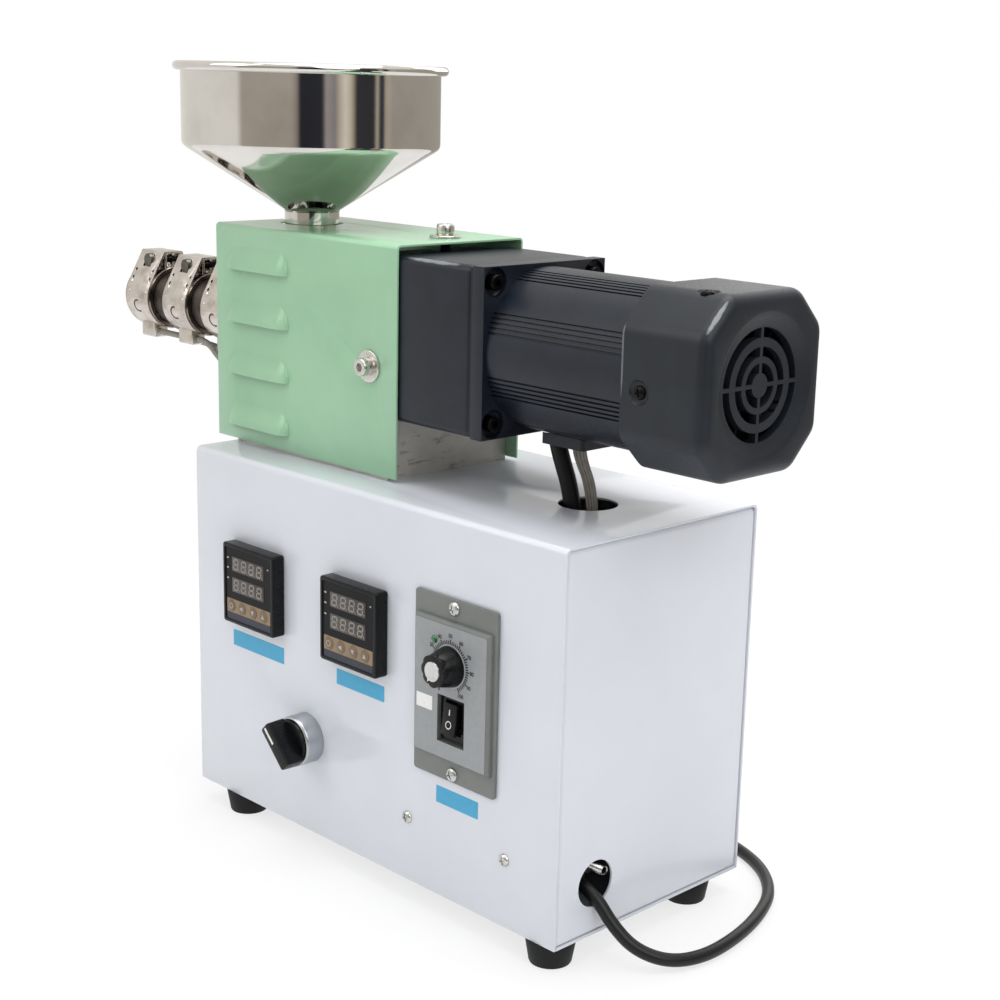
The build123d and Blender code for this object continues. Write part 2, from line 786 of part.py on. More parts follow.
def cover_bolt(plane, reach):
    """A cap screw and washer that hold the cover, drawn on the cover's outer face."""
    with BuildPart() as bolt:
        with BuildSketch(plane):
            Circle(washer_radius)
        extrude(amount=washer_thickness)
        with BuildSketch(plane.offset(washer_thickness)):
            Circle(bolt_head_radius)
        extrude(amount=bolt_head_height)
        with BuildSketch(plane.offset(washer_thickness + bolt_head_height)):
            RegularPolygon(bolt_head_radius / 2, 6)
        extrude(amount=-bolt_head_height / 2, mode=Mode.SUBTRACT)
        with BuildSketch(plane):
            Circle(bolt_radius - running_gap)
        extrude(amount=-reach)
    return bolt


side_reach = cover_half - base_width / 2 + bolt_depth - seam_gap
top_reach = cover_top - top_z - housing_height + bolt_depth - seam_gap
bolt_z = top_z + cover_bolt_rise
cover_top_bolt = cover_bolt(
    Plane(origin=(cover_bolt_x, cover_top_bolt_y, cover_top), x_dir=(1, 0, 0), z_dir=(0, 0, 1)), top_reach
)
cover_front_bolt = cover_bolt(
    Plane(origin=(cover_bolt_x, machine_y - cover_half, bolt_z), x_dir=(1, 0, 0), z_dir=(0, -1, 0)), side_reach
)
cover_back_bolt = cover_bolt(
    Plane(origin=(cover_bolt_x, machine_y + cover_half, bolt_z), x_dir=(-1, 0, 0), z_dir=(0, 1, 0)), side_reach
)

# Square gearbox
with BuildPart() as gearbox:
    with BuildSketch(across(gearbox_left)):
        with Locations((0, motor_z)):
            RectangleRounded(motor_size, motor_size, gearbox_round)
    extrude(amount=gearbox_length)

# Motor flange with a cap screw in each scooped corner
with BuildPart() as motor_flange:
    with BuildSketch(across(flange_left)):
        with Locations((0, motor_z)):
            RectangleRounded(motor_size, motor_size, flange_round)
    extrude(amount=flange_thickness)
    with BuildSketch(across(stator_left)):
        with Locations((0, motor_z)):
            with GridLocations(flange_screw_pitch, flange_screw_pitch, 2, 2):
                Circle(flange_recess_radius)
    extrude(amount=-flange_recess_depth, mode=Mode.SUBTRACT)
    with BuildSketch(across(stator_left - flange_recess_depth)):
        with Locations((0, motor_z)):
            with GridLocations(flange_screw_pitch, flange_screw_pitch, 2, 2):
                Circle(flange_screw_radius)
    extrude(amount=flange_screw_head)
    with BuildSketch(across(stator_left - flange_recess_depth + flange_screw_head)):
        with Locations((0, motor_z)):
            with GridLocations(flange_screw_pitch, flange_screw_pitch, 2, 2):
                RegularPolygon(flange_screw_socket, 6)
    extrude(amount=-flange_screw_head / 2, mode=Mode.SUBTRACT)

# Motor body with groups of fine grooves along it, and the bore of the fan shaft
with BuildPart() as motor_body:
    with BuildSketch(across(stator_left)):
        with Locations((0, motor_z)):
            Circle(stator_radius)
            for group in range(groove_groups):
                middle = (group + 0.5) * 360 / groove_groups
                first = middle - groove_pitch * (groove_per_group - 1) / 2
                for groove in range(groove_per_group):
                    with PolarLocations(stator_radius, 1, first + groove * groove_pitch):
                        Rectangle(2 * groove_depth, groove_width, mode=Mode.SUBTRACT)
    extrude(amount=stator_length)
    with BuildSketch(across(stator_left + stator_length)):
        with Locations((0, motor_z)):
            Circle(fan_shaft_radius + running_gap)
    extrude(amount=-fan_shaft_depth, mode=Mode.SUBTRACT)


def cut_corner_square(half, chamfer_size):
    """A square with cut corners, about the motor axis."""
    with BuildSketch(mode=Mode.PRIVATE) as outline:
        Rectangle(2 * half, 2 * half)
        chamfer(outline.vertices(), chamfer_size)
    return outline.sketch


# Fan cover with the dished ring grille in its end
inner_chamfer = fan_cover_chamfer - fan_cover_wall * (2 - math.sqrt(2))
with BuildPart() as fan_cover:
    with BuildSketch(across(seam_x)):
        with Locations((0, motor_z)):
            add(cut_corner_square(half_motor, fan_cover_chamfer))
    extrude(amount=fan_cover_length)
    fillet(fan_cover.edges().filter_by(Axis.X), fan_cover_round)
    fillet(fan_cover.faces().sort_by(Axis.X)[-1].edges(), fan_cover_round)
    with BuildSketch(across(seam_x)):
        with Locations((0, motor_z)):
            add(cut_corner_square(half_motor - fan_cover_wall, inner_chamfer))
    extrude(amount=fan_cover_length - fan_cover_end, mode=Mode.SUBTRACT)
    with BuildSketch(across(fan_cover_right)):
        with Locations((0, motor_z)):
            Circle(dish_radius)
    slope = math.degrees(math.atan((dish_radius - grille_radius) / dish_depth))
    extrude(amount=-dish_depth, taper=slope, mode=Mode.SUBTRACT)
    with BuildSketch(across(fan_cover_right)):
        with Locations((0, motor_z)):
            for outer_radius, inner_radius in grille_rings:
                Circle(outer_radius)
                Circle(inner_radius, mode=Mode.SUBTRACT)
            Rectangle(grille_rib, 2 * dish_radius, mode=Mode.SUBTRACT)
            Rectangle(2 * dish_radius, grille_rib, mode=Mode.SUBTRACT)
    extrude(amount=-2 * fan_cover_end, mode=Mode.SUBTRACT)

# Cooling fan on the motor shaft
fan_right = fan_cover_right - fan_cover_end - fan_end_gap
fan_left = fan_right - fan_depth
with BuildPart() as cooling_fan:
    with BuildSketch(across(fan_left)):
        with Locations((0, motor_z)):
            Circle(fan_radius)
    extrude(amount=fan_disc_thickness)
    with BuildSketch(across(fan_left)):
        with Locations((0, motor_z)):
            Circle(fan_hub_radius)
            with PolarLocations((fan_radius + fan_hub_radius) / 2, fan_blades):
                Rectangle(fan_radius - fan_hub_radius + 1, fan_blade_thickness)
    extrude(amount=fan_depth)
    with BuildSketch(across(stator_left + stator_length - fan_shaft_depth + seam_gap)):
        with Locations((0, motor_z)):
            Circle(fan_shaft_radius)
    extrude(amount=fan_left - stator_left - stator_length + fan_shaft_depth)

# Lead block under the motor body, and the two motor leads
lead_block_left = stator_left + lead_block_x
block_bottom = motor_z - lead_block_drop
with BuildPart() as lead_block:
    with BuildSketch(Plane.XY.offset(block_bottom)):
        with Locations((lead_block_left + lead_block_length / 2, machine_y)):
            RectangleRounded(lead_block_length, lead_block_width, 2)
    extrude(amount=lead_block_drop - stator_radius + 6)
    with BuildSketch(across(lead_block_left)):
        with Locations((0, motor_z)):
            Circle(stator_radius + seam_gap)
    extrude(amount=lead_block_length, mode=Mode.SUBTRACT)


def lead(points, radii, radius):
    """A round lead along straight runs joined by arcs."""
    with BuildPart() as tube:
        with BuildLine() as path:
            FilletPolyline(*points, radius=radii)
        start = path.line @ 0
        along = path.line % 0
        with BuildSketch(Plane(origin=start, z_dir=along)):
            Circle(radius)
        sweep(path=path.line)
    return tube


sleeve_x = lead_block_left + 7
motor_sleeve = lead(
    [
        (sleeve_x, machine_y - 6, block_bottom),
        (sleeve_x, machine_y - 6, block_bottom - 7),
        (lead_hole_x - 4, machine_y - 2, top_z + 4),
        (lead_hole_x - 3, machine_y - 2, top_z - lead_end_drop),
    ],
    [8, 9],
    sleeve_radius,
)
braid_x = lead_block_left + 21
motor_braid = lead(
    [
        (braid_x, machine_y - 4, block_bottom),
        (braid_x, machine_y - 4, block_bottom - 8),
        (lead_hole_x + 8, machine_y + 1, top_z + 10),
        (lead_hole_x + 8, machine_y + 2, top_z - lead_end_drop),
    ],
    [9, 12],
    braid_radius,
)

# Heater leads: from each terminal box under the barrel, into the cover and down the grommet
box_right = band_first_x + box_width / 2
box_y = machine_y + (box_near + box_far) / 2
box_z = barrel_z - heater_lead_drop
grommet_top = top_z + base_thickness
heater_lead_1 = lead(
    [
        (box_right, box_y, box_z),
        (box_right + 10, box_y, box_z),
        (box_right + 24, machine_y + 2.6, box_z - 3),
        (box_right + 72, machine_y + 3.2, box_z - 7),
        (box_right + 101, machine_y - 4, box_z - 12),
        (cover_left + 1, machine_y - 32, box_z - 26),
        (lead_grommet_x, lead_grommet_y + 3.4, grommet_top + 4),
        (lead_grommet_x, lead_grommet_y + 3.4, top_z - lead_end_drop),
    ],
    [7, 8, 40, 16, 12, 9],
    heater_lead_radius,
)
heater_lead_2 = lead(
    [
        (box_right + band_pitch, box_y, box_z),
        (box_right + band_pitch + 10, box_y, box_z),
        (box_right + band_pitch + 27, box_y - 2, box_z - 10.5),
        (box_right + band_pitch + 55, box_y - 7, box_z - 15),
        (cover_left + 1, machine_y - 37, box_z - 22),
        (lead_grommet_x - 3, lead_grommet_y - 2, grommet_top + 5),
        (lead_grommet_x - 3, lead_grommet_y - 2, top_z - lead_end_drop),
    ],
    [8, 16, 16, 12, 9],
    heater_lead_radius,
)
heater_lead_3 = lead(
    [
        (box_right + 2 * band_pitch, box_y, box_z),
        (box_right + 2 * band_pitch + 12, box_y, box_z),
        (cover_left + 1, machine_y - 32, box_z - 12),
        (lead_grommet_x + 3, lead_grommet_y - 2, grommet_top + 9),
        (lead_grommet_x + 3, lead_grommet_y - 2, top_z - lead_end_drop),
    ],
    [9, 12, 10],
    heater_lead_radius,
)

# Mains cord: out of the right end, down to the table and round to the back
with BuildPart() as cord_clamp:
    with BuildSketch(Plane.XY.offset(floor_z + floor_sheet)):
        with Locations((cord_clamp_x + cord_clamp_length / 2, cord_start_y)):
            RectangleRounded(cord_clamp_length, cord_clamp_width, 2)
    extrude(amount=cord_clamp_height)

cord_points = [
    Vector(cord_clamp_x + cord_clamp_length - 3, cord_start_y, cord_start_z),
    Vector(right_x - 14, cord_hole_y - 1.8, 41.2),
    Vector(right_x + 0.5, cord_hole_y, 35.2),
    Vector(right_x + 11, cord_hole_y + 1.8, 22.3),
    Vector(right_x + 23, cord_hole_y + 6.4, 11.4),
    Vector(right_x + 36, cord_hole_y + 18.4, 5.3),
    Vector(right_x + 42.5, cord_hole_y + 39.4, 3.7),
    Vector(right_x + 40.5, cord_hole_y + 67.4, 3.6),
    Vector(right_x + 33.5, back_y - 22.5, 3.6),
    Vector(right_x + 20.5, back_y + 5.5, 3.6),
    Vector(right_x - 2.5, back_y + 27.5, 3.6),
    Vector(right_x - 32.5, back_y + 39.5, 3.6),
    Vector(right_x - 66.5, back_y + 43.5, 3.6),
    Vector(right_x - 104.5, back_y + 44, 3.6),
    Vector(right_x - 142.5, back_y + 43.6, 3.6),
    Vector(right_x - 172.5, back_y + 43, 3.6),
]
cord_radii = []
for before, corner, after in zip(cord_points, cord_points[1:], cord_points[2:]):
    run_in = corner - before
    run_out = after - corner
    half_turn = math.radians(run_in.get_angle(run_out) / 2)
    cord_radii.append(0.45 * min(run_in.length, run_out.length) / math.tan(half_turn))
print("cord radii", [round(radius, 1) for radius in cord_radii])
power_cord = lead(cord_points, cord_radii, cord_radius)

coil_height = 4 * cord_radius
coil_half_width = 3 * cord_radius
with BuildPart() as power_cord_coil:
    with BuildSketch(Plane.XY):
        with Locations((coil_x, coil_y)):
            Circle(coil_turn_radius + coil_half_width)
            Circle(coil_turn_radius - coil_half_width, mode=Mode.SUBTRACT)
    extrude(amount=coil_height)
    fillet(power_cord_coil.edges().filter_by(GeomType.CIRCLE), coil_round)

plug_x = coil_x + plug_set_out
plug_y = coil_y + coil_turn_radius + 2 * cord_radius
plug_z = plug_thickness / 2 + plug_lift
with BuildPart() as power_plug:
    with BuildSketch(Plane(origin=(plug_x, plug_y, plug_z), x_dir=(0, 1, 0), z_dir=(1, 0, 0))):
        Circle(plug_boot_radius)
    extrude(amount=plug_boot_length, taper=-2)
    with BuildSketch(Plane(origin=(plug_x + plug_boot_length, plug_y, plug_z), x_dir=(0, 1, 0), z_dir=(1, 0, 0))):
        RectangleRounded(plug_width, plug_thickness, 4)
    extrude(amount=plug_length)
    pin_face = plug_x + plug_boot_length + plug_length
    with BuildSketch(Plane(origin=(pin_face, plug_y, plug_z), x_dir=(0, 1, 0), z_dir=(1, 0, 0))):
        with GridLocations(plug_pin_pitch, 0, 2, 1):
            Rectangle(plug_pin_thickness, plug_pin_width)
    extrude(amount=plug_pin_length)

pieces = {
    "cabinet_shell": cabinet_shell,
    "cabinet_left_end": cabinet_left_end,
    "cabinet_right_end": cabinet_right_end,
    "cabinet_floor": cabinet_floor,
    "foot_front_left": foot_front_left,
    "foot_front_right": foot_front_right,
    "foot_back_left": foot_back_left,
    "foot_back_right": foot_back_right,
    "barrel_controller": barrel_controller,
    "feed_controller": feed_controller,
    "speed_plate": speed_plate,
    "speed_knob": speed_knob,
    "power_rocker": power_rocker,
    "selector_ring": selector_ring,
    "selector_handle": selector_handle,
    "water_nipple": water_nipple,
    "base_plate": base_plate,
    "bearing_housing": bearing_housing,
    "feed_block": feed_block,
    "barrel": barrel,
    "nozzle": nozzle,
    "hopper": hopper,
    "hopper_neck": hopper_neck,
    "cover": cover,
    "cover_top_bolt": cover_top_bolt,
    "cover_front_bolt": cover_front_bolt,
    "cover_back_bolt": cover_back_bolt,
    "gearbox": gearbox,
    "motor_flange": motor_flange,
    "motor_body": motor_body,
    "fan_cover": fan_cover,
    "cooling_fan": cooling_fan,
    "lead_block": lead_block,
    "motor_sleeve": motor_sleeve,
    "motor_braid": motor_braid,
    "heater_lead_1": heater_lead_1,
    "heater_lead_2": heater_lead_2,
    "heater_lead_3": heater_lead_3,
    "cord_clamp": cord_clamp,
    "power_cord": power_cord,
    "power_cord_coil": power_cord_coil,
    "power_plug": power_plug,
}
for index, band in enumerate(heater_bands):
    pieces[f"heater_band_{index + 1}"] = band
for name, piece in pieces.items():
    piece.part.label = name
    export_step(piece.part, f"parts/{name}.step")
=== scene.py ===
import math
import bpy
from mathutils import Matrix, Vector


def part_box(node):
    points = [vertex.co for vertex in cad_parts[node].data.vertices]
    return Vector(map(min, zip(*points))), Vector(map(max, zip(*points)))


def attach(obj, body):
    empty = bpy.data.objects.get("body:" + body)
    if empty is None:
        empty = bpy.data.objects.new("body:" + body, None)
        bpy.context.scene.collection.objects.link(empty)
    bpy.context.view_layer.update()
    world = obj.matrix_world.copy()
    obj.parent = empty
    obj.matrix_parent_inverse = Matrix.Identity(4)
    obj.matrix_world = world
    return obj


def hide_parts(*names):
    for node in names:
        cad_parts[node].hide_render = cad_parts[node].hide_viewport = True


bl_info = {
    "name": "Single screw extruder",
    "version": (1, 0, 0),
    "blender": (4, 5, 0),
    "location": "3D View > Sidebar > Extruder",
    "description": "Dresses a table-top single screw extruder with its sheet, castings, controls and cords",
    "category": "Object",
}

import bpy
from mathutils import Matrix, Vector

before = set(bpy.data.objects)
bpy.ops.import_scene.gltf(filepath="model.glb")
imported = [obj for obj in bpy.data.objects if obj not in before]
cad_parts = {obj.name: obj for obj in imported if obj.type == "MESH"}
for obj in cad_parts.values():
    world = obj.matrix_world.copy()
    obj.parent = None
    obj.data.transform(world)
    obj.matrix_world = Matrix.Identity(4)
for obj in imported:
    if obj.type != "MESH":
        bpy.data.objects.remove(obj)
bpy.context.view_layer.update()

MM = 0.001


# Places read from the frame, in millimetres


def span(node_name):
    """Lowest and highest corner of a construction piece."""
    low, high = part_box(node_name)
    return Vector(low) / MM, Vector(high) / MM


def middle(node_name):
    """Middle of a construction piece."""
    low, high = span(node_name)
    return (low + high) / 2


shell_low, shell_high = span("cabinet_shell")
front_y, back_y = shell_low.y, shell_high.y
left_x, right_x = shell_low.x, shell_high.x
floor_z, top_z = shell_low.z, shell_high.z
cabinet_x, cabinet_y = (left_x + right_x) / 2, (front_y + back_y) / 2
gearbox_low, gearbox_high = span("gearbox")
motor_y, motor_z = (gearbox_low.y + gearbox_high.y) / 2, (gearbox_low.z + gearbox_high.z) / 2
motor_half = (gearbox_high.y - gearbox_low.y) / 2
stator_low, stator_high = span("motor_body")
stator_left = stator_low.x
stator_radius = (stator_high.z - stator_low.z) / 2
fan_cover_low, fan_cover_high = span("fan_cover")
seam_x, motor_right = fan_cover_low.x, fan_cover_high.x
hopper_low, hopper_high = span("hopper")
hopper_x, hopper_y = (hopper_low.x + hopper_high.x) / 2, (hopper_low.y + hopper_high.y) / 2
neck_low, neck_high = span("hopper_neck")
neck_radius = (neck_high.x - neck_low.x) / 2
cover_low, cover_high = span("cover")
barrel_low, barrel_high = span("barrel")
barrel_z = (barrel_low.z + barrel_high.z) / 2
base_low, base_high = span("base_plate")
cord_hole_y = front_y + 29.1
wire_hole_x, wire_hole_y = cabinet_x + 94.5, cabinet_y + 3
lead_hole_x, lead_hole_y = base_low.x + 14, base_low.y + 7.5


# Modelling by hand: small steps that the pieces share


def fresh():
    """Back to object mode with nothing selected."""
    if bpy.context.mode != "OBJECT":
        bpy.ops.object.mode_set(mode="OBJECT")
    bpy.ops.object.select_all(action="DESELECT")


def only(piece):
    """Selects one piece and makes it the active one."""
    fresh()
    piece.select_set(True)
    bpy.context.view_layer.objects.active = piece
    return piece


def settle(piece, name=None):
    """Gives the piece its name and moves its place into its mesh."""
    only(piece)
    bpy.ops.object.transform_apply(location=True, rotation=True, scale=True)
    if name:
        piece.name = name
        piece.data.name = name
    return piece


def shade(piece, degrees=35):
    """Smooth shading that keeps the edges sharper than an angle."""
    only(piece)
    bpy.ops.object.shade_smooth_by_angle(angle=math.radians(degrees))
    return piece


def modify(piece, kind, **settings):
    """Adds a modifier with its settings and applies it."""
    only(piece)
    modifier = piece.modifiers.new(kind.title(), kind)
    for name, value in settings.items():
        setattr(modifier, name, value)
    bpy.ops.object.modifier_apply(modifier=modifier.name)
    return piece


def soften(piece, width, segments=2, degrees=30):
    """Rounds every edge sharper than an angle by a width in millimetres."""
    angle = math.radians(degrees)
    return modify(
        piece, "BEVEL", width=width * MM, segments=segments, limit_method="ANGLE", angle_limit=angle
    )


def cut(piece, *cutters):
    """Takes the cutters' shapes out of the piece and removes the cutters."""
    for cutter in cutters:
        modify(piece, "BOOLEAN", operation="DIFFERENCE", solver="EXACT", object=cutter)
        bpy.data.objects.remove(cutter)
    return piece


def joined(name, pieces):
    """Joins several meshes into one piece."""
    fresh()
    for piece in pieces:
        piece.select_set(True)
    bpy.context.view_layer.objects.active = pieces[0]
    if len(pieces) > 1:
        bpy.ops.object.join()
    pieces[0].name = name
    pieces[0].data.name = name
    return pieces[0]


def outward(piece):
    """Merges doubled corners and turns every face outwards."""
    only(piece)
    bpy.ops.object.mode_set(mode="EDIT")
    bpy.ops.mesh.select_all(action="SELECT")
    bpy.ops.mesh.remove_doubles(threshold=0.000002)
    bpy.ops.mesh.normals_make_consistent(inside=False)
    bpy.ops.object.mode_set(mode="OBJECT")
    return piece


def pick_faces(piece, wanted):
    """Selects the faces that a test picks by place or normal, and goes into edit mode."""
    only(piece)
    bpy.ops.object.mode_set(mode="EDIT")
    bpy.ops.mesh.select_mode(type="FACE")
    bpy.ops.mesh.select_all(action="DESELECT")
    bpy.ops.object.mode_set(mode="OBJECT")
    for face in piece.data.polygons:
        face.select = wanted(face)
    bpy.ops.object.mode_set(mode="EDIT")


def round_rim(piece, wanted, width, segments):
    """Bevels the rim around the picked faces."""
    pick_faces(piece, wanted)
    bpy.ops.mesh.region_to_loop()
    bpy.ops.mesh.bevel(offset=width * MM, segments=segments, affect="EDGES")
    bpy.ops.object.mode_set(mode="OBJECT")
    return piece


def copied(piece, name, matrix):
    """A copy with a mesh of its own, set in place by a matrix."""
    only(piece)
    bpy.ops.object.duplicate(linked=False)
    twin = bpy.context.active_object
    twin.matrix_world = matrix
    return settle(twin, name)


def block(name, low, high, bevel=0.0, segments=3):
    """A box between two corners, its edges rounded."""
    fresh()
    low, high = Vector(low), Vector(high)
    bpy.ops.mesh.primitive_cube_add(size=1, location=(low + high) / 2 * MM)
    piece = bpy.context.active_object
    piece.scale = (high - low) * MM
    settle(piece, name)
    return soften(piece, bevel, segments) if bevel else piece


def point_start(name, place):
    """A plane merged to a single corner, from which an outline is drawn in edit mode."""
    fresh()
    bpy.ops.mesh.primitive_plane_add(size=0.001, location=(0, 0, 0))
    piece = bpy.context.active_object
    piece.name = name
    piece.data.name = name
    bpy.ops.object.mode_set(mode="EDIT")
    bpy.ops.mesh.select_mode(type="VERT")
    bpy.ops.mesh.select_all(action="SELECT")
    bpy.ops.mesh.merge(type="CENTER")
    bpy.ops.transform.translate(value=Vector(place) * MM)
    return piece


def draw_line(points):
    """Extrudes the selected corner from point to point."""
    for before, after in zip(points, points[1:]):
        step = (Vector(after) - Vector(before)) * MM
        bpy.ops.mesh.extrude_region_move(TRANSFORM_OT_translate={"value": step})


def turned(name, profile, origin=(0, 0, 0), direction=(0, 0, 1), steps=64, closed=False):
    """A turned piece: (radius, height) points spun about an axis through the origin point."""
    points = [(radius, 0, height) for radius, height in profile]
    if closed:
        points.append(points[0])
    piece = point_start(name, points[0])
    draw_line(points)
    bpy.ops.mesh.select_all(action="SELECT")
    bpy.ops.mesh.spin(steps=steps, angle=2 * math.pi, center=(0, 0, 0), axis=(0, 0, 1))
    bpy.ops.object.mode_set(mode="OBJECT")
    outward(piece)
    turn = Vector((0, 0, 1)).rotation_difference(Vector(direction))
    piece.matrix_world = Matrix.Translation(Vector(origin) * MM) @ turn.to_matrix().to_4x4()
    return settle(piece, name)


def drill(origin, direction, radius, depth=6.0, steps=32):
    """A cutter for a round hole, reaching a depth to both sides of the origin point."""
    profile = [(0, -depth), (radius, -depth), (radius, depth), (0, depth)]
    return turned("drill", profile, origin, direction, steps)


def plate(name, outline, thickness, matrix=None):
    """A flat outline in X and Y, extruded upwards by a thickness, then set in place by a matrix."""
    points = [(x, y, 0) for x, y in outline]
    piece = point_start(name, points[0])
    draw_line(points)
    bpy.ops.mesh.select_all(action="SELECT")
    bpy.ops.mesh.edge_face_add()
    bpy.ops.mesh.extrude_region_move(TRANSFORM_OT_translate={"value": (0, 0, thickness * MM)})
    bpy.ops.object.mode_set(mode="OBJECT")
    outward(piece)
    if matrix is not None:
        piece.matrix_world = matrix
    return settle(piece, name)


def looking(axis_x, axis_y, origin):
    """A matrix that lays local X and Y along two directions at a point."""
    x, y = Vector(axis_x).normalized(), Vector(axis_y).normalized()
    turn = Matrix((x, y, x.cross(y))).transposed().to_4x4()
    return Matrix.Translation(Vector(origin) * MM) @ turn


def on_front(x, z, proud=0.0):
    """A matrix for things drawn on the cabinet's front, facing the user."""
    return looking((1, 0, 0), (0, 0, 1), (x, front_y - proud, z))


def across(x, z, y=None):
    """A matrix for outlines across the machine: local X is the depth and local Y is up."""
    return looking((0, 1, 0), (0, 0, 1), (x, motor_y if y is None else y, z))


def arc(centre, radius, first, last, steps):
    """Points on an arc, with angles in degrees."""
    points = []
    for index in range(steps + 1):
        angle = math.radians(first + (last - first) * index / steps)
        points.append((centre[0] + radius * math.cos(angle), centre[1] + radius * math.sin(angle)))
    return points


def rounded_outline(width, height, radius, steps=5):
    """Points of a rectangle about the origin with round corners."""
    points = []
    for side_x, side_y, start in ((1, 1, 0), (-1, 1, 90), (-1, -1, 180), (1, -1, 270)):
        centre = (side_x * (width / 2 - radius), side_y * (height / 2 - radius))
        points += arc(centre, radius, start, start + 90, steps)
    return points


def folded_sheet(name, half, height, sheet, bend, length, matrix):
    """A sheet folded down on both sides, open below and at its ends."""
    outline = []
    for inset in (0, sheet):
        line = [(half - inset, 0)] + arc((half - bend, height - bend), bend - inset, 0, 90, 6)
        line += arc((-half + bend, height - bend), bend - inset, 90, 180, 6) + [(-half + inset, 0)]
        outline += line if inset == 0 else line[::-1]
    return plate(name, outline, length, matrix)


def tube(name, points, radius, resolution=6):
    """A round lead along a smooth line through given points, made a mesh."""
    fresh()
    line = lead_line(name, points, radius, resolution)
    only(line)
    bpy.ops.object.convert(target="MESH")
    return shade(bpy.context.active_object, 50)


def lead_line(name, points, radius, resolution):
    """The open smooth line of a lead or cord, with its thickness."""
    line = bpy.data.curves.new(name, "CURVE")
    line.dimensions = "3D"
    line.bevel_depth = radius * MM
    line.bevel_resolution = resolution
    line.resolution_u = 8
    line.use_fill_caps = True
    spline = line.splines.new("NURBS")
    spline.points.add(len(points) - 1)
    for point, place in zip(spline.points, points):
        point.co = (*(Vector(place) * MM), 1)
    spline.order_u = 3
    spline.use_endpoint_u = True
    piece = bpy.data.objects.new(name, line)
    bpy.context.collection.objects.link(piece)
    return piece


def number(text, size, matrix):
    """A printed figure, standing a hair proud of its face."""
    fresh()
    bpy.ops.object.text_add(location=(0, 0, 0))
    words = bpy.context.active_object
    words.data.body = text
    words.data.size = size * MM
    words.data.align_x = "CENTER"
    words.data.align_y = "CENTER"
    words.data.extrude = 0.03 * MM
    words.data.offset = 0.035 * size * MM
    words.data.resolution_u = 3
    bpy.ops.object.convert(target="MESH")
    piece = bpy.context.active_object
    piece.matrix_world = matrix
    return settle(piece, "figure")


def cross_slots(place, way, length, width, bottom, top, turn):
    """Two crossed cutters for the recess of a screw head."""
    lay = Vector((0, 0, 1)).rotation_difference(Vector(way)).to_matrix().to_4x4()
    slots = []
    for quarter in (0, 90):
        slot = block("slot", (-length / 2, -width / 2, bottom), (length / 2, width / 2, top))
        spin = Matrix.Rotation(math.radians(turn + quarter), 4, "Z")
        slot.matrix_world = Matrix.Translation(Vector(place) * MM) @ lay @ spin
        slots.append(settle(slot))
    return slots


def pan_screw(name, place, way, radius, turn=20):
    """A pan head screw with its cross recess."""
    profile = [(0, 2.1), (0.35, 2.02), (0.68, 1.7), (0.92, 1.1), (1, 0.4), (1, -0.6), (0, -0.6)]
    screw = turned(name, [(share * radius, rise) for share, rise in profile], place, way, 40)
    return cut(screw, *cross_slots(place, way, 1.15 * radius, 0.8, 1.0, 3.0, turn))


def cap_screw(place, way, radius, height, socket):
    """A cap screw's head with its six-sided socket."""
    profile = [(0, 0), (radius, 0), (radius, height - 0.7), (radius - 0.4, height), (0, height)]
    head = turned("head", profile, place, way, 40)
    deep = Vector(place) + Vector(way) * height
    return cut(head, drill(deep, way, socket, height * 0.45, 6))


def dress(piece, finish, replaces=(), body="machine", smooth=35):
    """Gives a piece its finish, the body it moves with and the solids it stands for."""
    if piece.type == "MESH":
        shade(piece, smooth)
    material, slot = finishes[finish]
    piece.data.materials.clear()
    piece.data.materials.append(material)
    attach(piece, body)
    if replaces:
        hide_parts(*replaces)
    return piece


def dress_node(node_name, finish):
    """Gives a construction piece that stays in view its finish."""
    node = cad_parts[node_name]
    node.data.materials.clear()
    node.data.materials.append(finishes[finish][0])


# Finishes: each one starts from what the real surface is


def shade_of(colour):
    """Linear red, green, blue and alpha of an sRGB hex colour, or of one picked in the sidebar."""
    if not isinstance(colour, str):
        return (*colour, 1.0)
    parts = [int(colour[place : place + 2], 16) / 255 for place in (1, 3, 5)]
    linear = [part / 12.92 if part <= 0.04045 else ((part + 0.055) / 1.055) ** 2.4 for part in parts]
    return (*linear, 1.0)


def add_node(tree, kind, settings=None, inputs=None):
    """Adds a node, sets its properties, and fills its inputs with values or with sockets."""
    new = tree.nodes.new(kind)
    for name, value in (settings or {}).items():
        setattr(new, name, value)
    for name, value in (inputs or {}).items():
        if isinstance(value, bpy.types.NodeSocket):
            tree.links.new(value, new.inputs[name])
        else:
            new.inputs[name].default_value = value
    return new


def surface(name, metallic=0.0, coat=0.0):
    """A named finish with its node tree, its shader and the object's own coordinates."""
    material = bpy.data.materials.new(name)
    material.use_nodes = True
    tree = material.node_tree
    shader = tree.nodes["Principled BSDF"]
    shader.inputs["Metallic"].default_value = metallic
    shader.inputs["Coat Weight"].default_value = coat
    shader.inputs["Coat Roughness"].default_value = 0.1
    place = add_node(tree, "ShaderNodeTexCoord").outputs["Object"]
    return material, tree, shader, place


